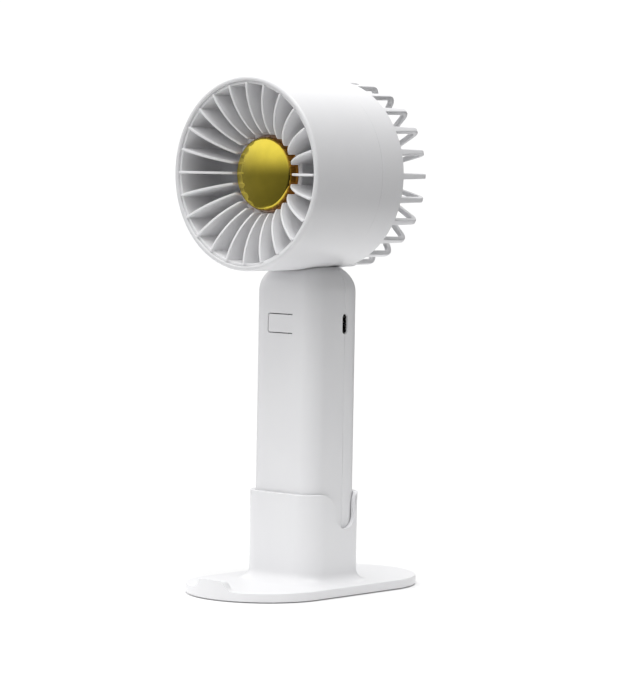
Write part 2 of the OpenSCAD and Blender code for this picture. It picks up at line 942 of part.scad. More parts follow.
// Sloping collar round the foot of a round-cornered post, in bars and corners that meet face to face
module post_foot(w, d, r, f) {
    for (s = [0, 180]) {
        rotate(s)
            translate([-(w / 2 - r), d / 2, 0])
                rotate([90, 0, 90])
                    linear_extrude(w - 2 * r)
                        foot_outline(f);
        rotate(s + 90)
            translate([-(d / 2 - r), w / 2, 0])
                rotate([90, 0, 90])
                    linear_extrude(d - 2 * r)
                        foot_outline(f);
    }
    for (sx = [0, 1], sy = [0, 1])
        mirror([sx, 0, 0])
            mirror([0, sy, 0])
                translate([w / 2 - r, d / 2 - r, 0])
                    rotate_extrude(angle = 90)
                        translate([r, 0])
                            foot_outline(f);
}

// Slope from the post's face down to the plate, with 1 mm of it inside the post
module foot_outline(f) {
    polygon([[-1, -0.5], [f, -0.5], [f, 0], [-1, f + 1]]);
}

// Side notch, drawn across its width and up from its lowest point
module notch_outline() {
    r = notch_w / 2;
    reach = r + notch_shoulder;
    translate([0, r])
        circle(r = r);
    translate([-r, r])
        square([notch_w, notch_h]);
    difference() {
        translate([-reach, notch_h - notch_shoulder])
            square([2 * reach, notch_shoulder + 2]);
        for (s = [-1, 1])
            translate([s * reach, notch_h - notch_shoulder])
                circle(r = notch_shoulder);
    }
}

module stand_base() {
    color("white") {
        difference() {
            union() {
                translate([0, 0, plate_z0])
                    linear_extrude(plate_t) {
                        square([plate_w, plate_l - plate_w], center = true);
                        for (s = [-1, 1])
                            translate([0, s * (plate_l - plate_w) / 2])
                                circle(r = plate_w / 2, $fn = 128);
                    }
                translate([0, 0, plate_z1 - 1])
                    linear_extrude(post_top - plate_z1 + 1)
                        round_rect(post_w, post_d, post_corner_r);
                translate([0, 0, plate_z1])
                    post_foot(post_w, post_d, post_corner_r, post_flare);
                ledge();
            }
            translate([0, 0, seat_h - stand_gap])
                linear_extrude(post_top)
                    round_rect(grip_w + 2 * stand_gap, grip_d + 2 * stand_gap, grip_corner_r + stand_gap);
            translate([0, shell_seam_y, post_top - notch_h])
                rotate([90, 0, 90])
                    linear_extrude(2 * post_w, center = true)
                        notch_outline();
            stand_pads(0.05);
        }
    }
}

module ledge() {
    intersection() {
        translate([0, -plate_l / 2 + ledge_t + 2, plate_z1])
            rotate([90, 0, 0])
                linear_extrude(ledge_t + 2)
                    polygon([
                        [-ledge_w / 2, -1], [-ledge_w / 2, 0],
                        [-ledge_top_w / 2, ledge_h], [ledge_top_w / 2, ledge_h],
                        [ledge_w / 2, 0], [ledge_w / 2, -1]
                    ]);
        difference() {
            translate([0, -(plate_l - plate_w) / 2, 0])
                cylinder(r = plate_w / 2 - 0.1, h = post_top);
            translate([0, -(plate_l - plate_w) / 2, -1])
                cylinder(r = plate_w / 2 - ledge_t, h = post_top);
        }
    }
}

module stand_pads(grow) {
    for (x = [-1, 1], y = [-1, 1])
        translate([x * (plate_w / 2 - 12), y * pad_y, 0])
            cylinder(r = pad_d / 2 + grow, h = plate_z0 + pad_in + grow);
}

module stand_feet() {
    color("dimgray")
        stand_pads(0);
}

stand_base();
stand_feet();
head_housing();
front_grille();
nose_cap();
rear_grille();
handle_front_shell();
handle_rear_shell();
circuit_board();
board_parts();
charge_led();
usb_c_shell();
usb_c_tongue();
switch_body();
board_screws();
shell_screws();
battery_cell();
battery_tabs();
battery_leads();
motor_leads();
driver_board();
motor_base();
motor_screws();
motor_bearings();
stator_core();
stator_coils();
motor_shaft();
shaft_clip();
rotor_can();
rotor_magnet();
impeller();
power_key();
switch_plunger();
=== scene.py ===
# %% [markdown]
# # A handheld fan on its table stand
# The mechanism is finished before this script starts: every solid, fit and joint comes with the frame.
# What is left is what the eye judges, so each visible moulding is modelled again here with soft edges,
# true wall ends and fine seams, and every hidden part gets the finish of its own stock.
# All sizes are read from the solids' boxes, so the looks can never drift from the mechanism.

import json
import math

import bmesh
import bpy
from mathutils import Matrix, Vector


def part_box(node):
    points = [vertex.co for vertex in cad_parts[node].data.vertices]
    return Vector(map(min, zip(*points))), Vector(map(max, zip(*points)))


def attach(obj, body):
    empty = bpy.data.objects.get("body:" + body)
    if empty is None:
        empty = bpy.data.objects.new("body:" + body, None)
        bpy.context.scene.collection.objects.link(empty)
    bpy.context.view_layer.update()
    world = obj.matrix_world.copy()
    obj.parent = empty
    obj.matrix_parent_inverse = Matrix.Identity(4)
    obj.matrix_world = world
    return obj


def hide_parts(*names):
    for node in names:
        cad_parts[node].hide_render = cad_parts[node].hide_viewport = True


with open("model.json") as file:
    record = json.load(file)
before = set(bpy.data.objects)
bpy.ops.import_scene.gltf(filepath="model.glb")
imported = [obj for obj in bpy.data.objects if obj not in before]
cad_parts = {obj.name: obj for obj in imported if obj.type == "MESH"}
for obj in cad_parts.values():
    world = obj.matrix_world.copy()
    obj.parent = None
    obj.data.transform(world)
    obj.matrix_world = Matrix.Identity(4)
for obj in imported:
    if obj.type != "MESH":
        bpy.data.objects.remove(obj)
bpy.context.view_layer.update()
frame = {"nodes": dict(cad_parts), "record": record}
MM = 0.001

# %% [markdown]
# ## Sizes that the mouldings share
# A fan head is turned about one axis, so most of its sizes are a radius or a distance along that axis.
# They are taken from the boxes of the solids: half a width is a radius, and a low or high Y is an end.
# Only what a box can't tell, such as a wall or a rounding, is written as a number.

# %% Sizes
barrel_low, barrel_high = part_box("head_housing")
grille_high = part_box("front_grille")[1]
cap_low, cap_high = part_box("nose_cap")
cage_low, cage_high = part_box("rear_grille")
grip_low, grip_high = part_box("handle_front_shell")
back_low, back_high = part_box("handle_rear_shell")
key_low, key_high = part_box("power_key")
port_low, port_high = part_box("usb_c_shell")
stand_low, stand_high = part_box("stand_base")
fan_low, fan_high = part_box("impeller")

AXIS_Z = (cap_low.z + cap_high.z) / 2
HEAD_R = barrel_high.x
LIP_Y = barrel_low.y
SEAM_Y = barrel_high.y
BAND_R = grille_high.x
BORE_R = BAND_R + 0.1 * MM
VANE_REAR_Y = grille_high.y - 1.5 * MM
FACE_Y = (math.pi / 2, 0, 0)
print(f"head radius {HEAD_R / MM:.1f} mm, axis {AXIS_Z / MM:.1f} mm above the table")

# %% [markdown]
# ## The camera
# The fan is seen from its front and port side, a little above the middle, through a long lens that
# keeps the uprights parallel. The camera stands on a circle round the fan, and its turn, tilt and
# roll are named, so the view can be set again by hand.

# %% Camera
VIEW_DISTANCE = 1.4
VIEW_AZIMUTH = math.radians(41.71)
VIEW_YAW = math.radians(-0.273)
VIEW_PITCH = math.radians(3.31)
VIEW_ROLL = math.radians(1.0)
VIEW_HEIGHT = AXIS_Z + 8.55 * MM
VIEW_LENS = 167.8


def aim_camera():
    """Adds the camera on its circle and turns it by its azimuth, yaw, pitch and roll."""
    heading = VIEW_AZIMUTH + VIEW_YAW
    level = math.cos(VIEW_PITCH)
    forward = Vector((-math.sin(heading) * level, math.cos(heading) * level, -math.sin(VIEW_PITCH)))
    right = forward.cross(Vector((0, 0, 1))).normalized()
    up = right.cross(forward)
    rolled_right = right * math.cos(VIEW_ROLL) + up * math.sin(VIEW_ROLL)
    rolled_up = up * math.cos(VIEW_ROLL) - right * math.sin(VIEW_ROLL)
    turn_matrix = Matrix((rolled_right, rolled_up, -forward)).transposed()
    place = (VIEW_DISTANCE * math.sin(VIEW_AZIMUTH), -VIEW_DISTANCE * math.cos(VIEW_AZIMUTH), VIEW_HEIGHT)
    bpy.ops.object.camera_add(location=place, rotation=turn_matrix.to_euler())
    camera = bpy.context.object
    camera.name = "studio_camera"
    camera.data.lens = VIEW_LENS
    camera.data.clip_end = 20
    bpy.context.scene.camera = camera
    return camera


print("camera stands at", [round(c, 3) for c in aim_camera().location])

# %% [markdown]
# ## Working by hand, in code
# Every step below is one a person would make in edit mode: add a primitive, pull it, bevel it, cut it.
# An operator acts on whatever is selected, so these helpers first clear the selection, then choose
# vertices, edges or faces by where they are. `settle` ends a piece: its place goes into its mesh, and
# its object sits at the origin like the frame's own nodes.

# %% Helpers for objects
def only(*objects):
    """Leaves object mode's selection with just these objects, the first of them active."""
    if bpy.context.object is not None and bpy.context.object.mode != "OBJECT":
        bpy.ops.object.mode_set(mode="OBJECT")
    bpy.ops.object.select_all(action="DESELECT")
    for item in objects:
        item.select_set(True)
    bpy.context.view_layer.objects.active = objects[0] if objects else None


def settle(name):
    """Puts the active object's place into its mesh, names it and returns it."""
    if bpy.context.object.mode != "OBJECT":
        bpy.ops.object.mode_set(mode="OBJECT")
    item = bpy.context.object
    only(item)
    bpy.ops.object.transform_apply(location=True, rotation=True, scale=True)
    item.name = name
    item.data.name = name
    return item


def modify(item, kind, **settings):
    """Adds a modifier with these settings and applies it."""
    only(item)
    bpy.ops.object.modifier_add(type=kind)
    modifier = item.modifiers[-1]
    for key, value in settings.items():
        setattr(modifier, key, value)
    bpy.ops.object.modifier_apply(modifier=modifier.name)


def ease(item, width, segments, angle):
    """Bevels every edge that is sharper than an angle in degrees."""
    limit = math.radians(angle)
    modify(item, "BEVEL", width=width, segments=segments, limit_method="ANGLE", angle_limit=limit)


def cut(item, cutter, operation="DIFFERENCE"):
    """Cuts, joins or keeps what two closed meshes share, and removes the cutter."""
    modify(item, "BOOLEAN", object=cutter, operation=operation, solver="EXACT")
    bpy.data.objects.remove(cutter)
    return item


def join(name, *objects):
    """Joins pieces of one moulding into one mesh."""
    only(*objects)
    bpy.ops.object.join()
    return settle(name)


def smooth(item, angle=35):
    """Shades soft stretches smoothly, keeps real edges crisp and lets large faces rule the normals."""
    only(item)
    bpy.ops.object.shade_smooth_by_angle(angle=math.radians(angle))
    modify(item, "WEIGHTED_NORMAL", keep_sharp=True, weight=80)
    return item


# %% Helpers for edit mode
def edit(item):
    """Opens an object in edit mode."""
    only(item)
    bpy.ops.object.mode_set(mode="EDIT")


def extrude(*step):
    """In edit mode, pulls what is selected out by a step."""
    bpy.ops.mesh.extrude_region_move(TRANSFORM_OT_translate={"value": step})


def resize(value, centre):
    """In edit mode, scales what is selected about a point."""
    bpy.ops.transform.resize(value=value, center_override=centre)


def pick(kind, test):
    """In edit mode, selects the vertices, edges or faces that pass the test and counts them."""
    bpy.ops.mesh.select_mode(type=kind)
    bpy.ops.mesh.select_all(action="DESELECT")
    mesh = bpy.context.object.data
    shape = bmesh.from_edit_mesh(mesh)
    found = [e for e in {"VERT": shape.verts, "EDGE": shape.edges, "FACE": shape.faces}[kind] if test(e)]
    for element in found:
        element.select_set(True)
    shape.select_flush_mode()
    bmesh.update_edit_mesh(mesh)
    return len(found)


def soften(item, test, width, segments=3):
    """Bevels the edges that pass the test."""
    edit(item)
    if pick("EDGE", test):
        bpy.ops.mesh.bevel(offset=width, offset_type="OFFSET", segments=segments, affect="EDGES")
    bpy.ops.object.mode_set(mode="OBJECT")


def at(axis, value, slack=0.01 * MM):
    """A test for the edges whose two ends lie at this place along x, y or z."""
    return lambda edge: all(abs(getattr(v.co, axis) - value) < slack for v in edge.verts)


def tidy_mesh(item, gap=0.002 * MM):
    """Merges doubled points and turns every face outwards."""
    edit(item)
    bpy.ops.mesh.select_all(action="SELECT")
    bpy.ops.mesh.remove_doubles(threshold=gap)
    bpy.ops.mesh.normals_make_consistent(inside=False)
    bpy.ops.object.mode_set(mode="OBJECT")
    return item


def report(item):
    """Says how big a finished piece is and whether its mesh is closed."""
    shape = bmesh.new()
    shape.from_mesh(item.data)
    open_edges = sum(len(e.link_faces) != 2 for e in shape.edges)
    volume = shape.calc_volume(signed=True) * 1e9
    shape.free()
    size = [round(d / MM, 2) for d in item.dimensions]
    faces = len(item.data.polygons)
    print(f"{item.name}: {faces} faces, {size} mm, {volume:.0f} mm3, {open_edges} open edges")


# %% [markdown]
# ## Turned shapes
# The barrel, the rings, the cap and the hub all have one outline swept about the fan's axis. A ring
# of edges is pulled from point to point of that outline and scaled to each new radius: the same as
# extrude, move and scale by hand. The corners are drawn sharp and bevelled afterwards, ring by ring.

# %% Turning
def turn(name, outline, sides=160):
    """Pulls a ring round the fan's axis along an outline of (radius, y) points; radius 0 closes a pole."""
    radius, y = outline[0]
    only()
    bpy.ops.mesh.primitive_circle_add(
        vertices=sides, radius=radius, location=(0, y, AXIS_Z), rotation=FACE_Y)
    settle(name)
    bpy.ops.object.mode_set(mode="EDIT")
    bpy.ops.mesh.select_all(action="SELECT")
    for next_radius, next_y in outline[1:]:
        extrude(0, next_y - y, 0)
        if next_radius == 0:
            bpy.ops.mesh.merge(type="CENTER")
            break
        scale = next_radius / radius
        resize((scale, 1, scale), (0, next_y, AXIS_Z))
        radius, y = next_radius, next_y
    return tidy_mesh(bpy.context.object)


def on_ring(radius, y, slack=0.01 * MM):
    """A test for the edges that run round the axis at this radius and distance."""
    def test(edge):
        return all(
            abs(v.co.y - y) < slack and abs(math.hypot(v.co.x, v.co.z - AXIS_Z) - radius) < slack
            for v in edge.verts)
    return test


def repeat_round(item, count):
    """Copies all of a piece round the fan's axis, evenly, inside its own mesh."""
    edit(item)
    bpy.ops.mesh.select_all(action="SELECT")
    for _ in range(count - 1):
        bpy.ops.mesh.duplicate()
        bpy.ops.transform.rotate(value=math.tau / count, orient_axis="Y", center_override=(0, 0, AXIS_Z))
    bpy.ops.object.mode_set(mode="OBJECT")
    return item


# %% [markdown]
# ## Blocks and bars with round corners
# The handle, the neck, the key and the sockets start as a plane whose corners are bevelled and which
# is then pulled into a bar. The same maker gives the cutters for the port and the key's window.

# %% Rounded bars
def set_up(name, rotation, centre):
    """Turns the new bar, moves it to its place and names it."""
    bpy.ops.object.mode_set(mode="OBJECT")
    item = bpy.context.object
    item.rotation_euler = rotation
    item.location = centre
    return tidy_mesh(settle(name))


def rounded_bar(name, across, along, corner, length, centre, rotation=(0, 0, 0), which=None, segments=10):
    """A bar pulled up from a plane with bevelled corners, centred on a point and then turned."""
    only()
    bpy.ops.mesh.primitive_plane_add(size=1)
    bpy.ops.object.mode_set(mode="EDIT")
    resize((across, along, 1), (0, 0, 0))
    bpy.ops.transform.translate(value=(0, 0, -length / 2))
    pick("VERT", which or (lambda v: True))
    bpy.ops.mesh.bevel(offset=corner, segments=segments, affect="VERTICES")
    bpy.ops.mesh.select_all(action="SELECT")
    extrude(0, 0, length)
    return set_up(name, rotation, centre)


def start_outline(name, across, along, z, corner, segments):
    """A level plane with bevelled corners, left in edit mode with all of it selected."""
    only()
    bpy.ops.mesh.primitive_plane_add(size=1, location=(0, 0, z))
    settle(name)
    bpy.ops.object.mode_set(mode="EDIT")
    resize((across, along, 1), (0, 0, 0))
    bpy.ops.mesh.bevel(offset=corner, segments=segments, affect="VERTICES")
    bpy.ops.mesh.select_all(action="SELECT")


def cylinder(name, radius, depth, centre, sides, rotation=(0, 0, 0)):
    """A plain cylinder about a point."""
    only()
    bpy.ops.mesh.primitive_cylinder_add(
        vertices=sides, radius=radius, depth=depth, location=centre, rotation=rotation)
    return settle(name)


def axle(name, radius, y0, y1, sides=192):
    """A plain cylinder on the fan's axis, used as a cutter."""
    return cylinder(name, radius, y1 - y0, (0, (y0 + y1) / 2, AXIS_Z), sides, FACE_Y)


def half_space(y0, y1):
    """A box that holds everything between two distances along Y."""
    width, height = 0.3, 0.5
    only()
    bpy.ops.mesh.primitive_cube_add(size=1, location=(0, (y0 + y1) / 2, AXIS_Z / 2))
    bpy.context.object.scale = (width, y1 - y0, height)
    return settle("half")


def neck_half(name, y0, y1):
    """Half of the square neck that hangs from the head into the handle, as a tube."""
    width = 17.6 * MM
    wall = 2 * MM
    top = AXIS_Z - BORE_R
    length = top - barrel_low.z
    centre = (0, 0, barrel_low.z + length / 2)
    neck = rounded_bar(name, width, width, 3 * MM, length, centre)
    hole = rounded_bar("hole", width - 2 * wall, width - 2 * wall, 1.2 * MM, 2 * length, centre)
    cut(neck, hole)
    cut(neck, axle("bore", (BORE_R + HEAD_R) / 2, -HEAD_R, HEAD_R))
    return cut(neck, half_space(y0, y1), "INTERSECT")


# %% [markdown]
# ## The barrel
# The real barrel is one glossy white tube with a rolled front lip that catches the light as a pale
# ring. A tube with a Solidify modifier would have square ends, so the wall is turned as a closed
# outline instead, and each of its four corners gets its own rounding. The rear corner's small
# chamfer is what draws the thin dark seam against the cage's ring.

# %% Barrel shell
LIP_ROUND = 1.3 * MM
SEAM_CHAMFER = 0.28 * MM


def make_barrel():
    """The turned barrel wall with its half of the neck."""
    wall = turn("barrel_shell", [
        (HEAD_R, SEAM_Y), (HEAD_R, LIP_Y), (BORE_R, LIP_Y), (BORE_R, SEAM_Y), (HEAD_R, SEAM_Y)], 192)
    soften(wall, on_ring(HEAD_R, LIP_Y), LIP_ROUND, 6)
    soften(wall, on_ring(BORE_R, LIP_Y), 0.6 * MM, 4)
    soften(wall, on_ring(HEAD_R, SEAM_Y), SEAM_CHAMFER, 1)
    smooth(wall)
    neck = smooth(neck_half("neck_front", barrel_low.z - AXIS_Z, SEAM_Y))
    return join("barrel_shell", wall, neck)


barrel = make_barrel()
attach(barrel, "fan")
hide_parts("head_housing")
report(barrel)

# %% [markdown]
# ## The vane grille
# The grille is one moulding: a band, 24 radial vanes whose front edges sink in an arc towards the
# middle, and a cup that holds the motor and the cap. The vanes are flat, so all their grace is in
# that arc. One vane is a grid whose front points are moved onto the arc; Solidify gives it its
# thickness and a bevel the round edges that show as bright lines. Then it is copied round the axis.

# %% One vane
VANE_COUNT = 24
VANE_T = 1.1 * MM
VANE_TIP_R = 17.8 * MM
VANE_SINK = 11.2 * MM
SWEEP_R0 = BAND_R + 0.7 * MM
SWEEP_R = ((SWEEP_R0 - VANE_TIP_R) ** 2 + VANE_SINK ** 2) / (2 * VANE_SINK)


def vane_front(radius):
    """Where a vane's front edge is at this radius: an arc that touches the lip's plane."""
    return LIP_Y + SWEEP_R - math.sqrt(SWEEP_R ** 2 - (SWEEP_R0 - radius) ** 2)


def make_vane(name):
    """A flat vane with its arc, its thickness and its rounded edges."""
    columns = 16
    outer = BAND_R - 0.5 * MM
    length = outer - VANE_TIP_R
    depth = VANE_REAR_Y - LIP_Y
    only()
    bpy.ops.mesh.primitive_grid_add(
        x_subdivisions=columns, y_subdivisions=1, size=1,
        location=((outer + VANE_TIP_R) / 2, LIP_Y + depth / 2, AXIS_Z))
    bpy.context.object.scale = (length, depth, 1)
    vane = settle(name)
    edit(vane)
    for i in range(columns + 1):
        radius = VANE_TIP_R + length * i / columns
        pick("VERT", lambda v: abs(v.co.x - radius) < 0.05 * MM and v.co.y < LIP_Y + 0.05 * MM)
        bpy.ops.transform.translate(value=(0, vane_front(radius) - LIP_Y, 0))
    bpy.ops.object.mode_set(mode="OBJECT")
    modify(vane, "SOLIDIFY", thickness=VANE_T, offset=0)
    ease(vane, 0.32 * MM, 3, 50)
    return vane


# %% Grille
HUB_RIM_Y = LIP_Y + 16 * MM
HUB_R = 19.5 * MM
HUB_BORE_R = cap_high.x + 0.1 * MM


def make_grille():
    """Vanes, band and hub cup as one moulding."""
    vanes = smooth(repeat_round(make_vane("vanes"), VANE_COUNT))
    band_y = LIP_Y + 1.2 * MM
    inner = BAND_R - 1 * MM
    band = turn("band", [
        (BAND_R, VANE_REAR_Y), (BAND_R, band_y), (inner, band_y), (inner, VANE_REAR_Y),
        (BAND_R, VANE_REAR_Y)])
    soften(band, on_ring(inner, band_y), 0.3 * MM)
    floor_y = grille_high.y - 2 * MM
    hole = 3.9 * MM
    cup = turn("cup", [
        (HUB_R, grille_high.y), (HUB_R, HUB_RIM_Y), (HUB_BORE_R, HUB_RIM_Y), (HUB_BORE_R, floor_y),
        (hole, floor_y), (hole, grille_high.y), (HUB_R, grille_high.y)], 96)
    soften(cup, on_ring(HUB_R, HUB_RIM_Y), 0.5 * MM)
    soften(cup, on_ring(HUB_BORE_R, HUB_RIM_Y), 0.25 * MM)
    return join("vane_grille", vanes, smooth(band), smooth(cup))


grille = make_grille()
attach(grille, "fan")
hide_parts("front_grille")
report(grille)

# %% [markdown]
# ## The nose cap
# A plated cap sits in the middle: a sloping side, a tight shoulder and a shallow dome. Plating shows
# every flaw of the form under it, so the dome follows a true circle and the shoulder is a bevel with
# many segments. The outer skin is turned first and Solidify then gives it its wall.

# %% Nose cap
CAP_SHOULDER_R = 15.9 * MM
CAP_SIDE = 4 * MM


def make_cap():
    """The cap's skin from its skirt to the middle of its dome, then its wall."""
    shoulder_y = HUB_RIM_Y - CAP_SIDE
    sag = shoulder_y - cap_low.y
    dome_r = (CAP_SHOULDER_R ** 2 + sag ** 2) / (2 * sag)
    centre_y = cap_low.y + dome_r
    rings = 16
    dome = []
    for i in range(rings + 1):
        radius = CAP_SHOULDER_R * (1 - i / rings)
        dome.append((radius, centre_y - math.sqrt(dome_r ** 2 - radius ** 2)))
    cap = turn("gold_cap", [(cap_high.x, cap_high.y), (cap_high.x, HUB_RIM_Y)] + dome, 128)
    soften(cap, on_ring(CAP_SHOULDER_R, shoulder_y), 0.9 * MM, 6)
    modify(cap, "SOLIDIFY", thickness=1.2 * MM, offset=-1, use_even_offset=True)
    return smooth(cap, 50)


cap = make_cap()
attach(cap, "fan")
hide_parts("nose_cap")
report(cap)

# %% [markdown]
# ## The rear cage
# Behind the seam a short tapering ring carries 24 bent bars that meet on a plate. Each bar is thick
# where it leaves the ring and thin at its tip, like a finger. One bar is pulled from a square:
# straight back, round its corner in small steps, and in to the plate. Scaling the moving face as it
# goes gives the taper that a swept curve would not.

# %% One bar
BAR_COUNT = 24
BAR_DEPTH = 2.4 * MM
BAR_ROOT_T = 3.0 * MM
BAR_TIP_T = 2.4 * MM
BAR_TIP_R = HEAD_R - 1 * MM
CORNER_R = 4.6 * MM
RING_Y = SEAM_Y + 15 * MM
PLATE_R = 14 * MM


def pull(step, narrow, centre):
    """Extrudes the selected face by a step and scales its thickness about a point."""
    extrude(*step)
    resize((1, 1, narrow), centre)


def make_bar(name):
    """One bar of the cage, beside +X, with its taper and its round corner."""
    corner_steps = 6
    end_share = 0.8
    middle = BAR_TIP_R - BAR_DEPTH / 2
    root_y = RING_Y - 1.5 * MM
    corner_y = cage_high.y - CORNER_R
    pivot = (BAR_TIP_R - CORNER_R, corner_y, AXIS_Z)
    only()
    bpy.ops.mesh.primitive_plane_add(size=1, location=(middle, root_y, AXIS_Z), rotation=FACE_Y)
    bpy.context.object.scale = (BAR_DEPTH, BAR_ROOT_T, 1)
    bar = settle(name)
    edit(bar)
    bpy.ops.mesh.select_all(action="SELECT")
    pull((0, corner_y - root_y, 0), BAR_TIP_T / BAR_ROOT_T, (0, 0, AXIS_Z))
    for _ in range(corner_steps):
        extrude(0, 0, 0)
        bpy.ops.transform.rotate(
            value=-math.pi / 2 / corner_steps, orient_axis="Z", center_override=pivot)
    pull((PLATE_R - 2 * MM - pivot[0], 0, 0), end_share, (0, 0, AXIS_Z))
    tidy_mesh(bar)
    ease(bar, 0.6 * MM, 3, 60)
    return bar


# %% Cage
def make_cage():
    """Ring, collar, bars, plate and the rear half of the neck as one moulding."""
    collar_in = BAND_R - 1 * MM
    step_y = SEAM_Y + 2 * MM
    ring_rear = HEAD_R - 0.5 * MM
    ring_front = HEAD_R - 0.3 * MM
    ring = turn("ring", [
        (ring_front, SEAM_Y), (ring_rear, RING_Y), (BORE_R, RING_Y), (BORE_R, step_y), (collar_in, step_y),
        (collar_in, cage_low.y), (BAND_R, cage_low.y), (BAND_R, SEAM_Y), (ring_front, SEAM_Y)], 192)
    soften(ring, on_ring(ring_front, SEAM_Y), SEAM_CHAMFER, 1)
    soften(ring, on_ring(ring_rear, RING_Y), 0.5 * MM)
    soften(ring, on_ring(BORE_R, RING_Y), 0.4 * MM)
    bars = smooth(repeat_round(make_bar("bars"), BAR_COUNT))
    plate_y = cage_high.y - BAR_DEPTH
    dish = 9 * MM
    dish_y = cage_high.y - 0.6 * MM
    plate = turn("plate", [
        (PLATE_R, plate_y), (PLATE_R, cage_high.y), (dish, cage_high.y), (dish - 0.8 * MM, dish_y),
        (0, dish_y)], 96)
    edit(plate)
    pick("EDGE", on_ring(PLATE_R, plate_y))
    bpy.ops.mesh.edge_face_add()
    bpy.ops.object.mode_set(mode="OBJECT")
    tidy_mesh(plate)
    soften(plate, on_ring(PLATE_R, cage_high.y), 0.6 * MM)
    soften(plate, on_ring(dish, cage_high.y), 0.3 * MM)
    neck = smooth(neck_half("neck_rear", SEAM_Y + 0.1 * MM, HEAD_R))
    return join("rear_cage", smooth(ring), bars, smooth(plate), neck)


cage = make_cage()
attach(cage, "fan")
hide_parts("rear_grille")
report(cage)

# %% [markdown]
# ## The handle's form
# The handle is a rounded bar whose shoulders and foot roll in. A lathe can't make it and a subdivided
# box would swell, so a plane with bevelled corners is pulled up ring by ring, and each ring is scaled
# to the width and depth that the rolling edge leaves. The same maker, set in by the wall, gives the
# hollow, so the two half shells come out with an even wall.

# %% Handle form
GRIP_W = 2 * grip_high.x
GRIP_D = 2 * back_high.y
GRIP_Z0 = grip_low.z
GRIP_WALL = 1.8 * MM
GRIP_CORNER = 7.5 * MM
SHOULDER_R = 13 * MM
SHOULDER_Z = AXIS_Z - HEAD_R - 9.5 * MM
FOOT_R = 3 * MM


def grip_rings(inset):
    """Heights of the form's rings, each with how far it is set in from the full width."""
    foot_steps, shoulder_steps = 6, 20
    foot = FOOT_R - inset
    shoulder = SHOULDER_R - inset
    rings = []
    for i in range(foot_steps + 1):
        a = math.pi / 2 * i / foot_steps
        rings.append((GRIP_Z0 + FOOT_R - foot * math.cos(a), foot * (1 - math.sin(a))))
    for i in range(shoulder_steps):
        a = math.pi / 2 * i / shoulder_steps
        rings.append((SHOULDER_Z + shoulder * math.sin(a), shoulder * (1 - math.cos(a))))
    return rings


def grip_form(name, inset):
    """The handle's outer form, or its hollow when set in by the wall."""
    width, depth = GRIP_W - 2 * inset, GRIP_D - 2 * inset
    rings = grip_rings(inset)
    start_outline(name, width, depth, rings[0][0], GRIP_CORNER - inset, 14)
    z, across, along = rings[0][0], width, depth
    for next_z, step in rings:
        if next_z > z:
            extrude(0, 0, next_z - z)
        scale = ((width - 2 * step) / across, (depth - 2 * step) / along, 1)
        resize(scale, (0, 0, next_z))
        z, across, along = next_z, width - 2 * step, depth - 2 * step
    return tidy_mesh(bpy.context.object)


# %% [markdown]
# ## Cutting the handle's shells
# The real handle is two shells that meet behind the port, with a saddle on top that the barrel rests
# in. Boolean cutters make the saddle, the port and the key's window, and a box keeps each half. Last,
# the outer edge of the seam gets a fine chamfer on both shells: that small valley, and nothing
# painted, is what the eye reads as a parting line.

# %% Openings of the handle
PORT_Y = (port_low.y + port_high.y) / 2
PORT_Z = (port_low.z + port_high.z) / 2
PORT_W = 3.4 * MM
PORT_L = 9.2 * MM
KEY_GAP = 0.4 * MM
KEY_ROOT_GAP = 0.08 * MM
KEY_Z = (key_low.z + key_high.z) / 2
KEY_W = key_high.x - key_low.x
KEY_H = key_high.z - key_low.z
SCREW_X = 12.7 * MM
SCREW_ZS = (18.6 * MM, 82.8 * MM)
SCREW_SEAT_R = 2.1 * MM
EDGE = 0.16 * MM


def hollow_grip():
    """The whole handle as one hollow form with its saddle, port and window."""
    grip = cut(grip_form("grip", 0), grip_form("hollow", GRIP_WALL))
    cut(grip, axle("saddle", HEAD_R + 0.1 * MM, -HEAD_R, HEAD_R, 256))
    port = rounded_bar(
        "port", PORT_L, PORT_W, PORT_W / 2 - 0.01 * MM, 8 * MM,
        (GRIP_W / 2, PORT_Y, PORT_Z), (0, math.pi / 2, 0))
    cut(grip, port)
    window_w = KEY_W + KEY_GAP + KEY_ROOT_GAP
    window_x = (key_low.x - KEY_GAP + key_high.x + KEY_ROOT_GAP) / 2
    window = rounded_bar(
        "window", window_w, KEY_H + 2 * KEY_GAP, 1.1 * MM, 8 * MM,
        (window_x, -GRIP_D / 2, KEY_Z), FACE_Y, lambda v: v.co.x < 0)
    return cut(grip, window)


def on_seam(y):
    """A test for the outer edges of the shells' seam, away from the saddle and the port."""
    middle = Vector((0, y, (GRIP_Z0 + SHOULDER_Z) / 2))

    def outer(face):
        centre = face.calc_center_median()
        saddle = math.hypot(centre.x, centre.z - AXIS_Z) < HEAD_R + 0.3 * MM
        return abs(face.normal.y) < 0.7 and not saddle and face.normal.dot(centre - middle) > 0

    def test(edge):
        at_port = all(v.co.x > 0 and abs(v.co.z - PORT_Z) < PORT_L / 2 + 0.01 * MM for v in edge.verts)
        flat = all(abs(v.co.y - y) < 0.004 * MM for v in edge.verts)
        return flat and not at_port and any(outer(f) for f in edge.link_faces)
    return test


# %% Handle shells
def make_grip_half(name, whole, y0, y1, seam_y):
    """One half of the handle, with its seam chamfered."""
    only(whole)
    bpy.ops.object.duplicate()
    half = settle(name)
    cut(half, half_space(y0, y1), "INTERSECT")
    soften(half, on_seam(seam_y), EDGE, 1)
    return half


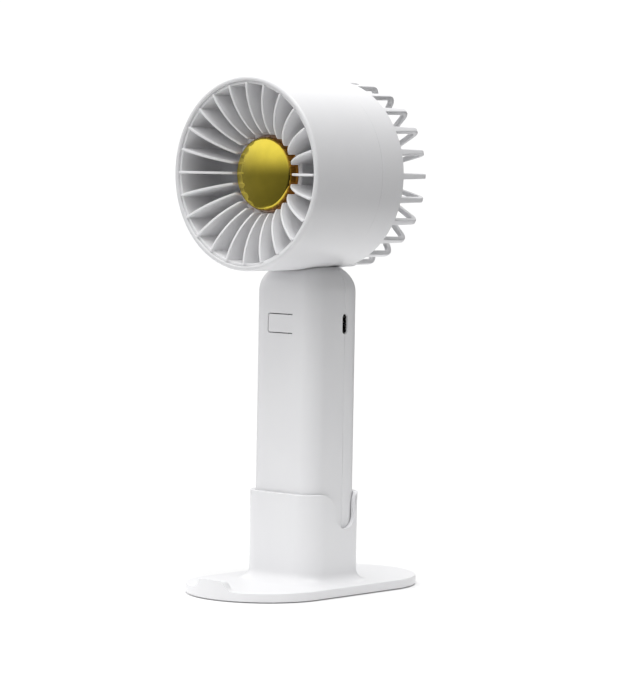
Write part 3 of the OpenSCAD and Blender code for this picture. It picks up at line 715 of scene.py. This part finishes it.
grip_whole = hollow_grip()
grip_front = make_grip_half("grip_front", grip_whole, -GRIP_D, grip_high.y, grip_high.y)
grip_rear = make_grip_half("grip_rear", grip_whole, back_low.y, GRIP_D, back_low.y)
bpy.data.objects.remove(grip_whole)
for screw_x in (-SCREW_X, SCREW_X):
    for screw_z in SCREW_ZS:
        seat = (screw_x, back_high.y, screw_z)
        cut(grip_rear, cylinder("counterbore", SCREW_SEAT_R, 6 * MM, seat, 48, FACE_Y))
smooth(grip_front)
smooth(grip_rear)
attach(grip_front, "fan")
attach(grip_rear, "fan")
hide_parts("handle_front_shell")
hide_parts("handle_rear_shell")
for shell in (grip_front, grip_rear):
    report(shell)

# %% [markdown]
# ## The power key
# The key isn't a loose button: it is a tongue of the handle's own wall, free on three sides, that
# bends at its right edge. Its left corners are round like its slot's. A stem behind it reaches the
# switch. It is pulled from a plane, its front edge is eased, and the stem is a second short bar.

# %% Power tongue
def make_key():
    """The tongue with its stem."""
    wall_y = key_low.y + GRIP_WALL / 2
    root_x = key_high.x + KEY_ROOT_GAP - 0.01 * MM
    tongue = rounded_bar(
        "power_tongue", root_x - key_low.x, KEY_H, 0.8 * MM, GRIP_WALL,
        ((root_x + key_low.x) / 2, wall_y, KEY_Z), FACE_Y, lambda v: v.co.x < 0)
    front, root = at("y", key_low.y), at("x", root_x)
    soften(tongue, lambda e: front(e) and not root(e), EDGE, 2)
    stem_x, stem_r = -1.3 * MM, 1.6 * MM
    stem_y = key_low.y + GRIP_WALL - 0.4 * MM
    stem_centre = (stem_x, (key_high.y + stem_y) / 2, KEY_Z)
    stem = cylinder("stem", stem_r, key_high.y - stem_y, stem_centre, 40, FACE_Y)
    soften(stem, at("y", key_high.y), 0.3 * MM)
    return join("power_tongue", smooth(tongue), smooth(stem))


key = make_key()
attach(key, "key")
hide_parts("power_key")
report(key)

# %% [markdown]
# ## Drawn outlines
# The stand's side notch and its phone ledge have outlines with both hollow and round corners. Such an
# outline is drawn as a person would: a first point is extruded to each corner in turn, the loop is
# filled, the corners are rounded by a vertex bevel, and the face is pulled to its depth.

# %% Drawn bars
def drawn_bar(name, corners, depth, centre, rotation):
    """A bar with an outline of (x, y, rounding) corners, pulled both ways from its middle."""
    only()
    bpy.ops.mesh.primitive_plane_add(size=1)
    bpy.ops.object.mode_set(mode="EDIT")
    bpy.ops.mesh.select_mode(type="VERT")
    bpy.ops.mesh.select_all(action="SELECT")
    bpy.ops.mesh.merge(type="CENTER")
    x, y = 0, 0
    for next_x, next_y, _ in corners:
        if (x, y) == (0, 0):
            bpy.ops.transform.translate(value=(next_x, next_y, 0))
        else:
            extrude(next_x - x, next_y - y, 0)
        x, y = next_x, next_y
    bpy.ops.mesh.select_all(action="SELECT")
    bpy.ops.mesh.edge_face_add()
    for corner_x, corner_y, rounding in corners:
        if rounding:
            pick("VERT", lambda v: math.hypot(v.co.x - corner_x, v.co.y - corner_y) < 0.001 * MM)
            bpy.ops.mesh.bevel(offset=rounding, segments=10, affect="VERTICES")
    bpy.ops.mesh.select_all(action="SELECT")
    bpy.ops.transform.translate(value=(0, 0, -depth / 2))
    extrude(0, 0, depth)
    return set_up(name, rotation, centre)


# %% [markdown]
# ## The table stand
# The stand is a long oval plate with a socket post that grows out of it through a smooth fillet. The
# fillet is made with the inset operator: each inset moves the outline in by an exact distance and up
# by another, so walking round a quarter circle gives a true concave curve with an even wall above it.
# The notch has a wide front shoulder and a tighter rear one. It is cut before the rim is rounded, so
# one bevel runs round the rim and through the notch.

# %% Stand sizes
PLATE_W = 2 * stand_high.x
PLATE_L = 2 * stand_high.y
PLATE_Z0 = stand_low.z
PLATE_Z1 = PLATE_Z0 + 4 * MM
POST_TOP = stand_high.z
POST_W = 42 * MM
POST_D = 37.4 * MM
POST_WALL = 2.15 * MM
POST_CORNER = 10 * MM
POST_FILLET = 5 * MM
SOCKET_FLOOR = GRIP_Z0 - 0.35 * MM
NOTCH_Z = POST_TOP - 16 * MM
NOTCH_R = 6 * MM
NOTCH_FRONT_R = 9.9 * MM
NOTCH_REAR_R = 5.2 * MM


# %% Post
def make_post():
    """Fillet, wall and socket, with the notches cut through both sides."""
    steps = 12
    sunk = 0.5 * MM
    proud = 0.02 * MM
    start_outline(
        "post", POST_W + 2 * POST_FILLET, POST_D + 2 * POST_FILLET, PLATE_Z1 - sunk,
        POST_CORNER + POST_FILLET, 10)
    extrude(0, 0, sunk + proud)
    for i in range(steps):
        a, b = math.pi / 2 * i / steps, math.pi / 2 * (i + 1) / steps
        inwards, upwards = math.sin(b) - math.sin(a), math.cos(a) - math.cos(b)
        bpy.ops.mesh.inset(thickness=POST_FILLET * inwards, depth=POST_FILLET * upwards)
    wall_foot = PLATE_Z1 + proud + POST_FILLET
    extrude(0, 0, POST_TOP - wall_foot)
    bpy.ops.mesh.inset(thickness=POST_WALL, depth=0)
    extrude(0, 0, SOCKET_FLOOR - POST_TOP)
    post = tidy_mesh(bpy.context.object)
    reach = NOTCH_R + 14 * MM
    rise = POST_TOP - NOTCH_Z
    over = 0.01 * MM
    notch = drawn_bar("notch", [
        (-reach, rise + over, 0), (-NOTCH_R, rise + over, NOTCH_FRONT_R), (-NOTCH_R, 0, NOTCH_R - over),
        (NOTCH_R, 0, NOTCH_R - over), (NOTCH_R, rise + over, NOTCH_REAR_R), (reach, rise + over, 0),
        (reach, rise + 4 * MM, 0), (-reach, rise + 4 * MM, 0)],
        2 * POST_W, (0, PORT_Y, NOTCH_Z), (math.pi / 2, 0, math.pi / 2))
    return cut(post, notch)


# %% Stand
def rim_edge(edge):
    """The sharp edges of the socket's rim and notches."""
    if any(v.co.z < NOTCH_Z - 0.1 * MM for v in edge.verts) or len(edge.link_faces) != 2:
        return False
    return edge.calc_face_angle(0) > math.radians(45)


def make_ledge():
    """The phone ledge: a low block that follows the plate's front edge."""
    foot, top, height, thick = 9.6 * MM, 6.9 * MM, 4.4 * MM, 3 * MM
    arc_r = PLATE_W / 2 - 0.02 * MM
    arc_y = -(PLATE_L - PLATE_W) / 2
    ledge = drawn_bar("ledge", [
        (-foot - 4 * MM, -1 * MM, 0), (-foot - 4 * MM, -0.02 * MM, 0), (-foot, -0.02 * MM, 2 * MM),
        (-top, height, 1.3 * MM), (top, height, 1.3 * MM), (foot, -0.02 * MM, 2 * MM),
        (foot + 4 * MM, -0.02 * MM, 0), (foot + 4 * MM, -1 * MM, 0)],
        12 * MM, (0, -PLATE_L / 2, PLATE_Z1), FACE_Y)
    for radius, operation in ((arc_r, "INTERSECT"), (arc_r - thick, "DIFFERENCE")):
        cut(ledge, cylinder("arc", radius, 40 * MM, (0, arc_y, PLATE_Z1), 192), operation)
    ease(ledge, 0.3 * MM, 2, 50)
    return ledge


def make_stand():
    """Plate, post and ledge as one moulding."""
    plate = rounded_bar(
        "plate", PLATE_W, PLATE_L, PLATE_W / 2 - 0.01 * MM, PLATE_Z1 - PLATE_Z0,
        (0, 0, (PLATE_Z0 + PLATE_Z1) / 2), segments=48)
    soften(plate, at("z", PLATE_Z1), 0.45 * MM)
    soften(plate, at("z", PLATE_Z0), 0.5 * MM)
    post = make_post()
    soften(post, rim_edge, 0.4 * MM)
    return join("socket_stand", smooth(plate), smooth(post), smooth(make_ledge()))


stand = make_stand()
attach(stand, "stand")
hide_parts("stand_base")
report(stand)

# %% [markdown]
# ## Rubber feet
# Four soft pads sit in shallow recesses under the plate. Each is a disc with an eased lower edge, and
# the copies are made in edit mode at the corners that the solids' box gives.

# %% Feet
pads_low, pads_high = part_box("stand_feet")
PAD_R = 4.5 * MM


def make_pads():
    """One eased disc and its three copies."""
    x, y = pads_high.x - PAD_R, pads_high.y - PAD_R
    thick, middle = pads_high.z - pads_low.z, (pads_high.z + pads_low.z) / 2
    pads = cylinder("rubber_feet", PAD_R, thick, (x, y, middle), 64)
    soften(pads, at("z", pads_low.z), 0.25 * MM)
    edit(pads)
    bpy.ops.mesh.select_all(action="SELECT")
    for step in ((-2 * x, 0, 0), (0, -2 * y, 0), (2 * x, 0, 0)):
        bpy.ops.mesh.duplicate_move(TRANSFORM_OT_translate={"value": step})
    bpy.ops.object.mode_set(mode="OBJECT")
    return smooth(pads)


pads = make_pads()
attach(pads, "stand")
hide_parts("stand_feet")
report(pads)

# %% [markdown]
# ## The impeller
# Behind the vanes seven blades turn on a cup-shaped hub. A real blade is twisted: steep at its root,
# flatter at its tip, and slightly hollow on its pushing face. A grid gives it enough points to bend:
# its rows are moved for the hollow, its columns narrowed and turned for the twist, and Solidify and a
# bevel give the moulded thickness. The hub is turned with the ring that grips the motor's can.

# %% Impeller
BLADE_COUNT = 7
BLADE_T = 1.3 * MM
BLADE_Y = 2.4 * MM
HUB_SKIN = 1.5 * MM
FAN_HUB_R = 19.2 * MM
can_low, can_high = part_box("rotor_can")
shaft_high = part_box("motor_shaft")[1]


def make_blade(name):
    """One blade beside +X, with its hollow, its taper and its twist."""
    columns, rows = 10, 6
    root, tip = FAN_HUB_R - HUB_SKIN / 2, fan_high.x - 0.15 * MM
    chord_root, chord_tip = 15.5 * MM, 18 * MM
    pitch_root, pitch_tip = math.radians(40), math.radians(27)
    hollow = 1.1 * MM
    round_from, round_off = 0.85, 0.10
    only()
    bpy.ops.mesh.primitive_grid_add(
        x_subdivisions=columns, y_subdivisions=rows, size=1,
        location=((root + tip) / 2, BLADE_Y, AXIS_Z), rotation=FACE_Y)
    bpy.context.object.scale = (tip - root, chord_root, 1)
    blade = settle(name)
    edit(blade)
    for i in range(rows + 1):
        z = AXIS_Z + chord_root * (i / rows - 0.5)
        pick("VERT", lambda v: abs(v.co.z - z) < 0.1 * MM)
        bpy.ops.transform.translate(value=(0, hollow * (1 - (2 * i / rows - 1) ** 2) - hollow / 2, 0))
    for i in range(columns + 1):
        share = i / columns
        x = root + (tip - root) * share
        pick("VERT", lambda v: abs(v.co.x - x) < 0.1 * MM)
        rounding = round_off * max(0, share - round_from) / (1 - round_from)
        widen = 1 + (chord_tip / chord_root - 1) * share - rounding
        resize((1, 1, widen), (x, BLADE_Y, AXIS_Z))
        bpy.ops.transform.rotate(
            value=-(pitch_root + (pitch_tip - pitch_root) * share), orient_axis="X",
            center_override=(x, BLADE_Y, AXIS_Z))
    bpy.ops.object.mode_set(mode="OBJECT")
    modify(blade, "SOLIDIFY", thickness=BLADE_T, offset=0)
    ease(blade, 0.35 * MM, 2, 60)
    return blade


def make_impeller():
    """Hub and blades as one moulding."""
    back_in = fan_high.y - HUB_SKIN
    hub_in = FAN_HUB_R - HUB_SKIN
    grip_in, grip_out = can_high.x + 0.02 * MM, can_high.x + 1.22 * MM
    bore, boss = shaft_high.x + 0.02 * MM, shaft_high.x + 1.6 * MM
    hub = turn("hub", [
        (FAN_HUB_R, fan_low.y), (FAN_HUB_R, fan_high.y), (bore, fan_high.y), (bore, can_high.y + 0.2 * MM),
        (boss, can_high.y + 0.2 * MM), (boss, back_in), (grip_in, back_in), (grip_in, can_low.y + 2 * MM),
        (grip_out, can_low.y + 2 * MM), (grip_out, back_in), (hub_in, back_in), (hub_in, fan_low.y),
        (FAN_HUB_R, fan_low.y)], 96)
    soften(hub, on_ring(FAN_HUB_R, fan_high.y), 1.2 * MM, 4)
    blades = repeat_round(make_blade("blades"), BLADE_COUNT)
    return join("impeller_wheel", smooth(hub), smooth(blades, 50))


wheel = make_impeller()
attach(wheel, "rotor")
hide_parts("impeller")
report(wheel)

# %% [markdown]
# ## Shared surface effects
# Injection-moulded plastic is never a perfect flat colour: its skin has a fine grain and its gloss
# wanders a little. Metals show the marks of how they were made.
# These effects are shader groups with named inputs. They put out only masks and heights, so each
# material keeps its own Principled shader and sets its own amounts.

# %% Shader groups
def new_group(name, inputs, outputs):
    """A shader group with number inputs and outputs, with the nodes that hold the two."""
    group = bpy.data.node_groups.new(name, "ShaderNodeTree")
    for label, value in inputs.items():
        socket = group.interface.new_socket(name=label, in_out="INPUT", socket_type="NodeSocketFloat")
        socket.default_value = value
    for label in outputs:
        group.interface.new_socket(name=label, in_out="OUTPUT", socket_type="NodeSocketFloat")
    return group, group.nodes.new("NodeGroupInput"), group.nodes.new("NodeGroupOutput")


def put(node, values):
    """Sets a node's input values, by the names or the numbers of its sockets."""
    for key, value in values.items():
        node.inputs[key].default_value = value


def add(tree, kind, sockets=None, **settings):
    """Adds a shader node and sets its properties, or its input values where they are sockets."""
    node = tree.nodes.new("ShaderNode" + kind)
    for key, value in settings.items():
        if key in node.inputs:
            node.inputs[key].default_value = value
        else:
            setattr(node, key, value)
    put(node, sockets or {})
    return node


def wire(tree, *rows):
    """Links nodes by rows of (node, its output, next node, its input)."""
    for source, output, sink, entry in rows:
        tree.links.new(source.outputs[output], sink.inputs[entry])


def ramp(tree, source, output, low, high):
    """Maps a node's output smoothly between two (input, output) pairs."""
    node = add(tree, "MapRange", interpolation_type="SMOOTHSTEP")
    put(node, {"From Min": low[0], "To Min": low[1], "From Max": high[0], "To Max": high[1]})
    wire(tree, (source, output, node, "Value"))
    return node


def moulded_skin():
    """Fine grain of the skin, slow wandering of its tone, and a soft mottle of its gloss."""
    group, given, result = new_group(
        "moulded_skin", {"Grain": 2600.0, "Flow": 55.0}, ["Tone", "Gloss", "Height"])
    place = add(group, "TexCoord")
    grain = add(group, "TexNoise", Detail=2.0, Roughness=0.55)
    flow = add(group, "TexNoise", Detail=3.0, Roughness=0.5, Distortion=0.8)
    mottle = add(group, "TexNoise", Scale=420.0, Detail=2.0)
    stretch = add(group, "Mapping", Scale=(1, 1, 0.45))
    mix = add(group, "Math", {1: 0.3}, operation="MULTIPLY_ADD")
    wire(
        group, (place, "Object", grain, "Vector"), (place, "Object", stretch, "Vector"),
        (stretch, "Vector", flow, "Vector"), (place, "Object", mottle, "Vector"),
        (given, "Grain", grain, "Scale"), (given, "Flow", flow, "Scale"),
        (mottle, "Fac", mix, 0), (flow, "Fac", mix, 2), (mix, 0, result, "Gloss"),
        (flow, "Fac", result, "Tone"), (grain, "Fac", result, "Height"))
    return group


def worked_metal():
    """Streaks of a drawn or turned surface, and a slow wandering of its tone."""
    group, given, result = new_group(
        "worked_metal", {"Streak": 900.0, "Squeeze": 0.06}, ["Tone", "Gloss", "Height"])
    place = add(group, "TexCoord")
    scale = add(group, "CombineXYZ", X=1.0, Z=1.0)
    squeeze = add(group, "Mapping")
    streak = add(group, "TexNoise", Detail=3.0, Roughness=0.6)
    cloud = add(group, "TexNoise", Scale=160.0, Detail=2.0)
    wire(
        group, (given, "Squeeze", scale, "Y"), (place, "Object", squeeze, "Vector"),
        (scale, "Vector", squeeze, "Scale"), (squeeze, "Vector", streak, "Vector"),
        (given, "Streak", streak, "Scale"), (place, "Object", cloud, "Vector"),
        (cloud, "Fac", result, "Tone"), (streak, "Fac", result, "Gloss"),
        (streak, "Fac", result, "Height"))
    return group


def even_layers():
    """Thin even layers across one direction, such as laminations or the turns of a winding."""
    group, given, result = new_group("even_layers", {"Pitch": 1000.0, "Tilt": 0.0}, ["Tone", "Height"])
    place = add(group, "TexCoord")
    angle = add(group, "CombineXYZ")
    tilt = add(group, "Mapping")
    wave = add(group, "TexWave", bands_direction="Y", Distortion=0.4, Detail=1.0)
    cloud = add(group, "TexNoise", Scale=700.0)
    half = add(group, "Math", {1: 0.5}, operation="MULTIPLY_ADD")
    wire(
        group, (given, "Tilt", angle, "Z"), (place, "Object", tilt, "Vector"),
        (angle, "Vector", tilt, "Rotation"), (tilt, "Vector", wave, "Vector"),
        (given, "Pitch", wave, "Scale"), (place, "Object", cloud, "Vector"), (cloud, "Fac", half, 0),
        (wave, "Fac", half, 2), (half, 0, result, "Tone"), (wave, "Fac", result, "Height"))
    return group


SKIN = moulded_skin()
METAL = worked_metal()
LAYERS = even_layers()
print("shader groups:", [g.name for g in bpy.data.node_groups])

# %% [markdown]
# ## One maker for all finishes
# Every finish is the same small tree: a group gives masks, a Mix chooses between two close colours, a
# Map Range turns the gloss mask into roughness, and a Bump feeds the normal. What differs between
# plastic, rubber and copper is the numbers, so they are arguments, and constants such as metallic are
# set on the shader's own sockets.

# %% Finish maker
FINISHES = {}


def finish(name, group, dark, light, rough, bump, group_values=None, **shader_values):
    """Makes a material from a group's masks, two colours, a roughness range and a bump height in mm."""
    material = bpy.data.materials.new(name)
    material.use_nodes = True
    tree = material.node_tree
    shader = tree.nodes["Principled BSDF"]
    masks = add(tree, "Group", group_values, node_tree=group)
    colour = add(tree, "Mix", {6: (*dark, 1), 7: (*light, 1)}, data_type="RGBA")
    gloss = add(tree, "MapRange", {
        "From Min": 0.3, "From Max": 0.8, "To Min": rough[0], "To Max": rough[1]})
    relief = add(tree, "Bump", Strength=1.0, Distance=bump * MM)
    gloss_mask = "Gloss" if "Gloss" in masks.outputs else "Tone"
    wire(
        tree, (masks, "Tone", colour, 0), (masks, gloss_mask, gloss, "Value"),
        (masks, "Height", relief, "Height"), (colour, 2, shader, "Base Color"),
        (gloss, "Result", shader, "Roughness"), (relief, "Normal", shader, "Normal"))
    put(shader, {key.replace("_", " "): value for key, value in shader_values.items()})
    FINISHES[name] = material


# %% [markdown]
# ## White mouldings
# The shells, the grille and the impeller are the same white plastic, yet they don't look alike: the
# shells are polished, the thin ribs are a little duller, and the impeller, which nobody touches, has
# a coarser tool surface. The grille and the impeller are also painted a lighter white than the shells:
# painted light that lifts the shade between the vanes.

# %% White finishes
WHITE_DARK = (0.80, 0.80, 0.815)
WHITE_LIGHT = (0.835, 0.835, 0.845)
finish(
    "white_shell", SKIN, WHITE_DARK, WHITE_LIGHT, (0.30, 0.38), 0.006,
    IOR=1.5, Coat_Weight=0.12, Coat_Roughness=0.12)
# Painted light: the grille's white is lighter than the shells' to lift the shade between the vanes.
finish(
    "white_grille", SKIN, (0.88, 0.88, 0.895), (0.91, 0.91, 0.92), (0.34, 0.44), 0.008,
    {"Grain": 2200.0}, IOR=1.5)
# Painted light: the impeller's white is lighter than the shells' to lift the shade seen between the vanes.
finish(
    "white_impeller", SKIN, (0.86, 0.86, 0.88), (0.90, 0.90, 0.91), (0.42, 0.55), 0.012,
    {"Grain": 1700.0}, IOR=1.5)

# %% [markdown]
# ## Plating, rubber and the parts inside
# The cap is chrome under a yellow lacquer, so it mirrors its surroundings in gold. Inside, each part
# takes the finish of its stock: drawn steel, laminated steel with its layers, enamelled copper turns,
# a green board, cast alloy, a wrapped cell. They only show through gaps and when the fan is opened,
# but a part that is taken apart is looked at closely.

# %% Other finishes
finish(
    "gold_chrome", METAL, (0.52, 0.42, 0.030), (0.70, 0.55, 0.050), (0.05, 0.09), 0.001,
    {"Streak": 300.0, "Squeeze": 1.0}, Metallic=1.0, Coat_Weight=0.5, Coat_Roughness=0.03)
finish(
    "grey_rubber", SKIN, (0.05, 0.05, 0.053), (0.085, 0.085, 0.09), (0.72, 0.9), 0.03, {"Grain": 1400.0})
finish(
    "green_board", SKIN, (0.008, 0.07, 0.03), (0.015, 0.13, 0.05), (0.3, 0.42), 0.01,
    {"Grain": 900.0, "Flow": 300.0}, Coat_Weight=0.3, Coat_Roughness=0.2)
finish("black_parts", SKIN, (0.012, 0.012, 0.013), (0.03, 0.03, 0.032), (0.42, 0.6), 0.012)
finish(
    "led_lens", SKIN, (0.75, 0.78, 0.80), (0.88, 0.90, 0.92), (0.12, 0.2), 0.004, Transmission_Weight=0.35)
finish(
    "plated_steel", METAL, (0.50, 0.50, 0.50), (0.66, 0.66, 0.65), (0.2, 0.36), 0.004, Metallic=1.0)
finish(
    "nickel_strip", METAL, (0.55, 0.53, 0.49), (0.68, 0.66, 0.61), (0.25, 0.4), 0.004,
    {"Squeeze": 0.2}, Metallic=1.0)
finish(
    "bearing_steel", METAL, (0.55, 0.56, 0.57), (0.68, 0.69, 0.70), (0.12, 0.25), 0.002,
    {"Streak": 1500.0}, Metallic=1.0)
finish(
    "laminated_steel", LAYERS, (0.22, 0.22, 0.23), (0.42, 0.42, 0.43), (0.35, 0.55), 0.03,
    {"Pitch": 950.0}, Metallic=1.0)
finish(
    "cast_alloy", METAL, (0.45, 0.45, 0.46), (0.58, 0.58, 0.59), (0.4, 0.58), 0.02,
    {"Streak": 1200.0, "Squeeze": 1.0}, Metallic=1.0)
finish(
    "copper_winding", LAYERS, (0.34, 0.09, 0.025), (0.72, 0.28, 0.10), (0.22, 0.4), 0.08,
    {"Pitch": 1400.0, "Tilt": 0.15}, Metallic=1.0, Coat_Weight=0.6)
finish(
    "black_magnet", METAL, (0.02, 0.02, 0.021), (0.05, 0.05, 0.052), (0.4, 0.6), 0.01,
    {"Squeeze": 0.5}, Metallic=0.4)
finish(
    "cell_wrap", SKIN, (0.02, 0.10, 0.28), (0.03, 0.14, 0.36), (0.22, 0.34), 0.01,
    {"Flow": 90.0}, Coat_Weight=0.4)
finish("wire_sheath", SKIN, (0.30, 0.015, 0.012), (0.42, 0.03, 0.02), (0.35, 0.5), 0.01)

# %% Dressing
# Painted reflection: from these radii outwards the cap's sloping side is painted brown, standing in for
# the darker room that it mirrors.
REFLECTION_BROWN = (0.42, 0.17, 0.008, 1)
REFLECTION_START_R, REFLECTION_FULL_R = 15.0 * MM, 16.4 * MM


def dress(item, material):
    """Gives an object one material in every slot."""
    if not item.material_slots:
        item.data.materials.append(material)
    for slot in item.material_slots:
        slot.material = material


def paint_side_reflection(material):
    """Paints the cap's sloping side browner than its dome, a painted reflection of the darker room."""
    tree = material.node_tree
    shader = tree.nodes["Principled BSDF"]
    plain_gold = shader.inputs["Base Color"].links[0].from_node
    place = add(tree, "TexCoord")
    shift = add(tree, "VectorMath", {1: (0, 0, AXIS_Z)}, operation="SUBTRACT")
    flat = add(tree, "VectorMath", {1: (1, 0, 1)}, operation="MULTIPLY")
    radius = add(tree, "VectorMath", operation="LENGTH")
    side_mask = ramp(tree, radius, "Value", (REFLECTION_START_R, 0), (REFLECTION_FULL_R, 1))
    # This mix paints the brown reflection onto the cap's side.
    thick = add(tree, "Mix", {7: REFLECTION_BROWN}, data_type="RGBA")
    wire(
        tree, (place, "Object", shift, 0), (shift, "Vector", flat, 0), (flat, "Vector", radius, 0),
        (side_mask, "Result", thick, 0), (plain_gold, 2, thick, 6), (thick, 2, shader, "Base Color"))


# Paints the brown reflection onto the cap's sloping side.
paint_side_reflection(FINISHES["gold_chrome"])
slot_of = {row["node"]: row["material_slot"] for row in frame["record"]["subparts"]}
for node, item in frame["nodes"].items():
    dress(item, FINISHES[slot_of[node]])
pieces = {
    barrel: "white_shell", grille: "white_grille", cap: "gold_chrome", cage: "white_shell",
    grip_front: "white_shell", grip_rear: "white_shell", key: "white_shell", stand: "white_shell",
    pads: "grey_rubber", wheel: "white_impeller"}
for piece, slot_name in pieces.items():
    dress(piece, FINISHES[slot_name])
print("finishes:", len(FINISHES), "on", len(frame["nodes"]), "solids and", len(pieces), "new pieces")

# %% [markdown]
# ## Floor, light and background
# The mood is that of a catalogue: a white sweep, broad soft light from above and the left, and a
# darker side of the room on the right, which shapes the round barrel and the handle's side. The sky
# gives that: one side of it is bright, the other dim, and it falls off towards the horizon, which is
# what the polished cap mirrors in its middle. The floor is a small white disc, lit until it melts into the
# background, so that only a faint contact shadow is left; its bounce lifts the undersides.

# %% Floor
FLOOR_R = 0.36
FLOOR_TONE = 0.86
FLOOR_GLOW = 0.02
WHITE = (1, 1, 1, 1)


def make_floor():
    """A white disc just under the feet."""
    only()
    bpy.ops.mesh.primitive_circle_add(vertices=96, radius=FLOOR_R, fill_type="NGON", location=(0, 0, 0))
    floor = settle("studio_floor")
    material = bpy.data.materials.new("studio_floor")
    material.use_nodes = True
    put(material.node_tree.nodes["Principled BSDF"], {
        "Base Color": (FLOOR_TONE, FLOOR_TONE, FLOOR_TONE, 1), "Roughness": 0.9,
        "Specular IOR Level": 0.0, "Emission Color": WHITE, "Emission Strength": FLOOR_GLOW})
    dress(floor, material)


# %% Sky
LIGHT_SIDE = (-0.68, -0.24, 0.67)
SKY_DIM, SKY_BRIGHT = 0.10, 1.42
AWAY, TOWARDS = -0.6, 0.9
HORIZON = 0.20
HORIZON_Z, CLEAR_Z = -0.05, 0.40
BACKDROP = 1.05


def make_sky():
    """White behind the fan; as light, bright on one side and dim at the horizon."""
    world = bpy.data.worlds.new("studio_sky")
    bpy.context.scene.world = world
    world.use_nodes = True
    tree = world.node_tree
    back = tree.nodes["Background"]
    put(back, {"Color": WHITE})
    place = add(tree, "TexCoord")
    facing = add(tree, "VectorMath", {1: LIGHT_SIDE}, operation="DOT_PRODUCT")
    parts = add(tree, "SeparateXYZ")
    side = ramp(tree, facing, "Value", (AWAY, SKY_DIM), (TOWARDS, SKY_BRIGHT))
    height = ramp(tree, parts, "Z", (HORIZON_Z, HORIZON), (CLEAR_Z, 1.0))
    product = add(tree, "Math", operation="MULTIPLY")
    plain = add(tree, "Background", Color=WHITE, Strength=BACKDROP)
    seen = add(tree, "LightPath")
    either = add(tree, "MixShader")
    wire(
        tree, (place, "Generated", facing, 0), (place, "Generated", parts, 0),
        (side, "Result", product, 0), (height, "Result", product, 1), (product, 0, back, "Strength"),
        (seen, "Is Camera Ray", either, 0), (back, "Background", either, 1),
        (plain, "Background", either, 2), (either, "Shader", tree.nodes["World Output"], "Surface"))


make_floor()
make_sky()
bpy.context.scene.view_settings.view_transform = "Standard"


# %% Lamp
LAMP_PLACE = Vector((0.40, -0.15, 1.30))
LAMP_TARGET = Vector((0, 0, 0.12))
LAMP_SIZE = 0.8
LAMP_POWER = 7.5

aim = (LAMP_TARGET - LAMP_PLACE).to_track_quat("-Z", "Y").to_euler()
bpy.ops.object.light_add(type="AREA", location=LAMP_PLACE, rotation=aim)
lamp = bpy.context.object
lamp.name = "top_box"
lamp.data.size = LAMP_SIZE
lamp.data.energy = LAMP_POWER
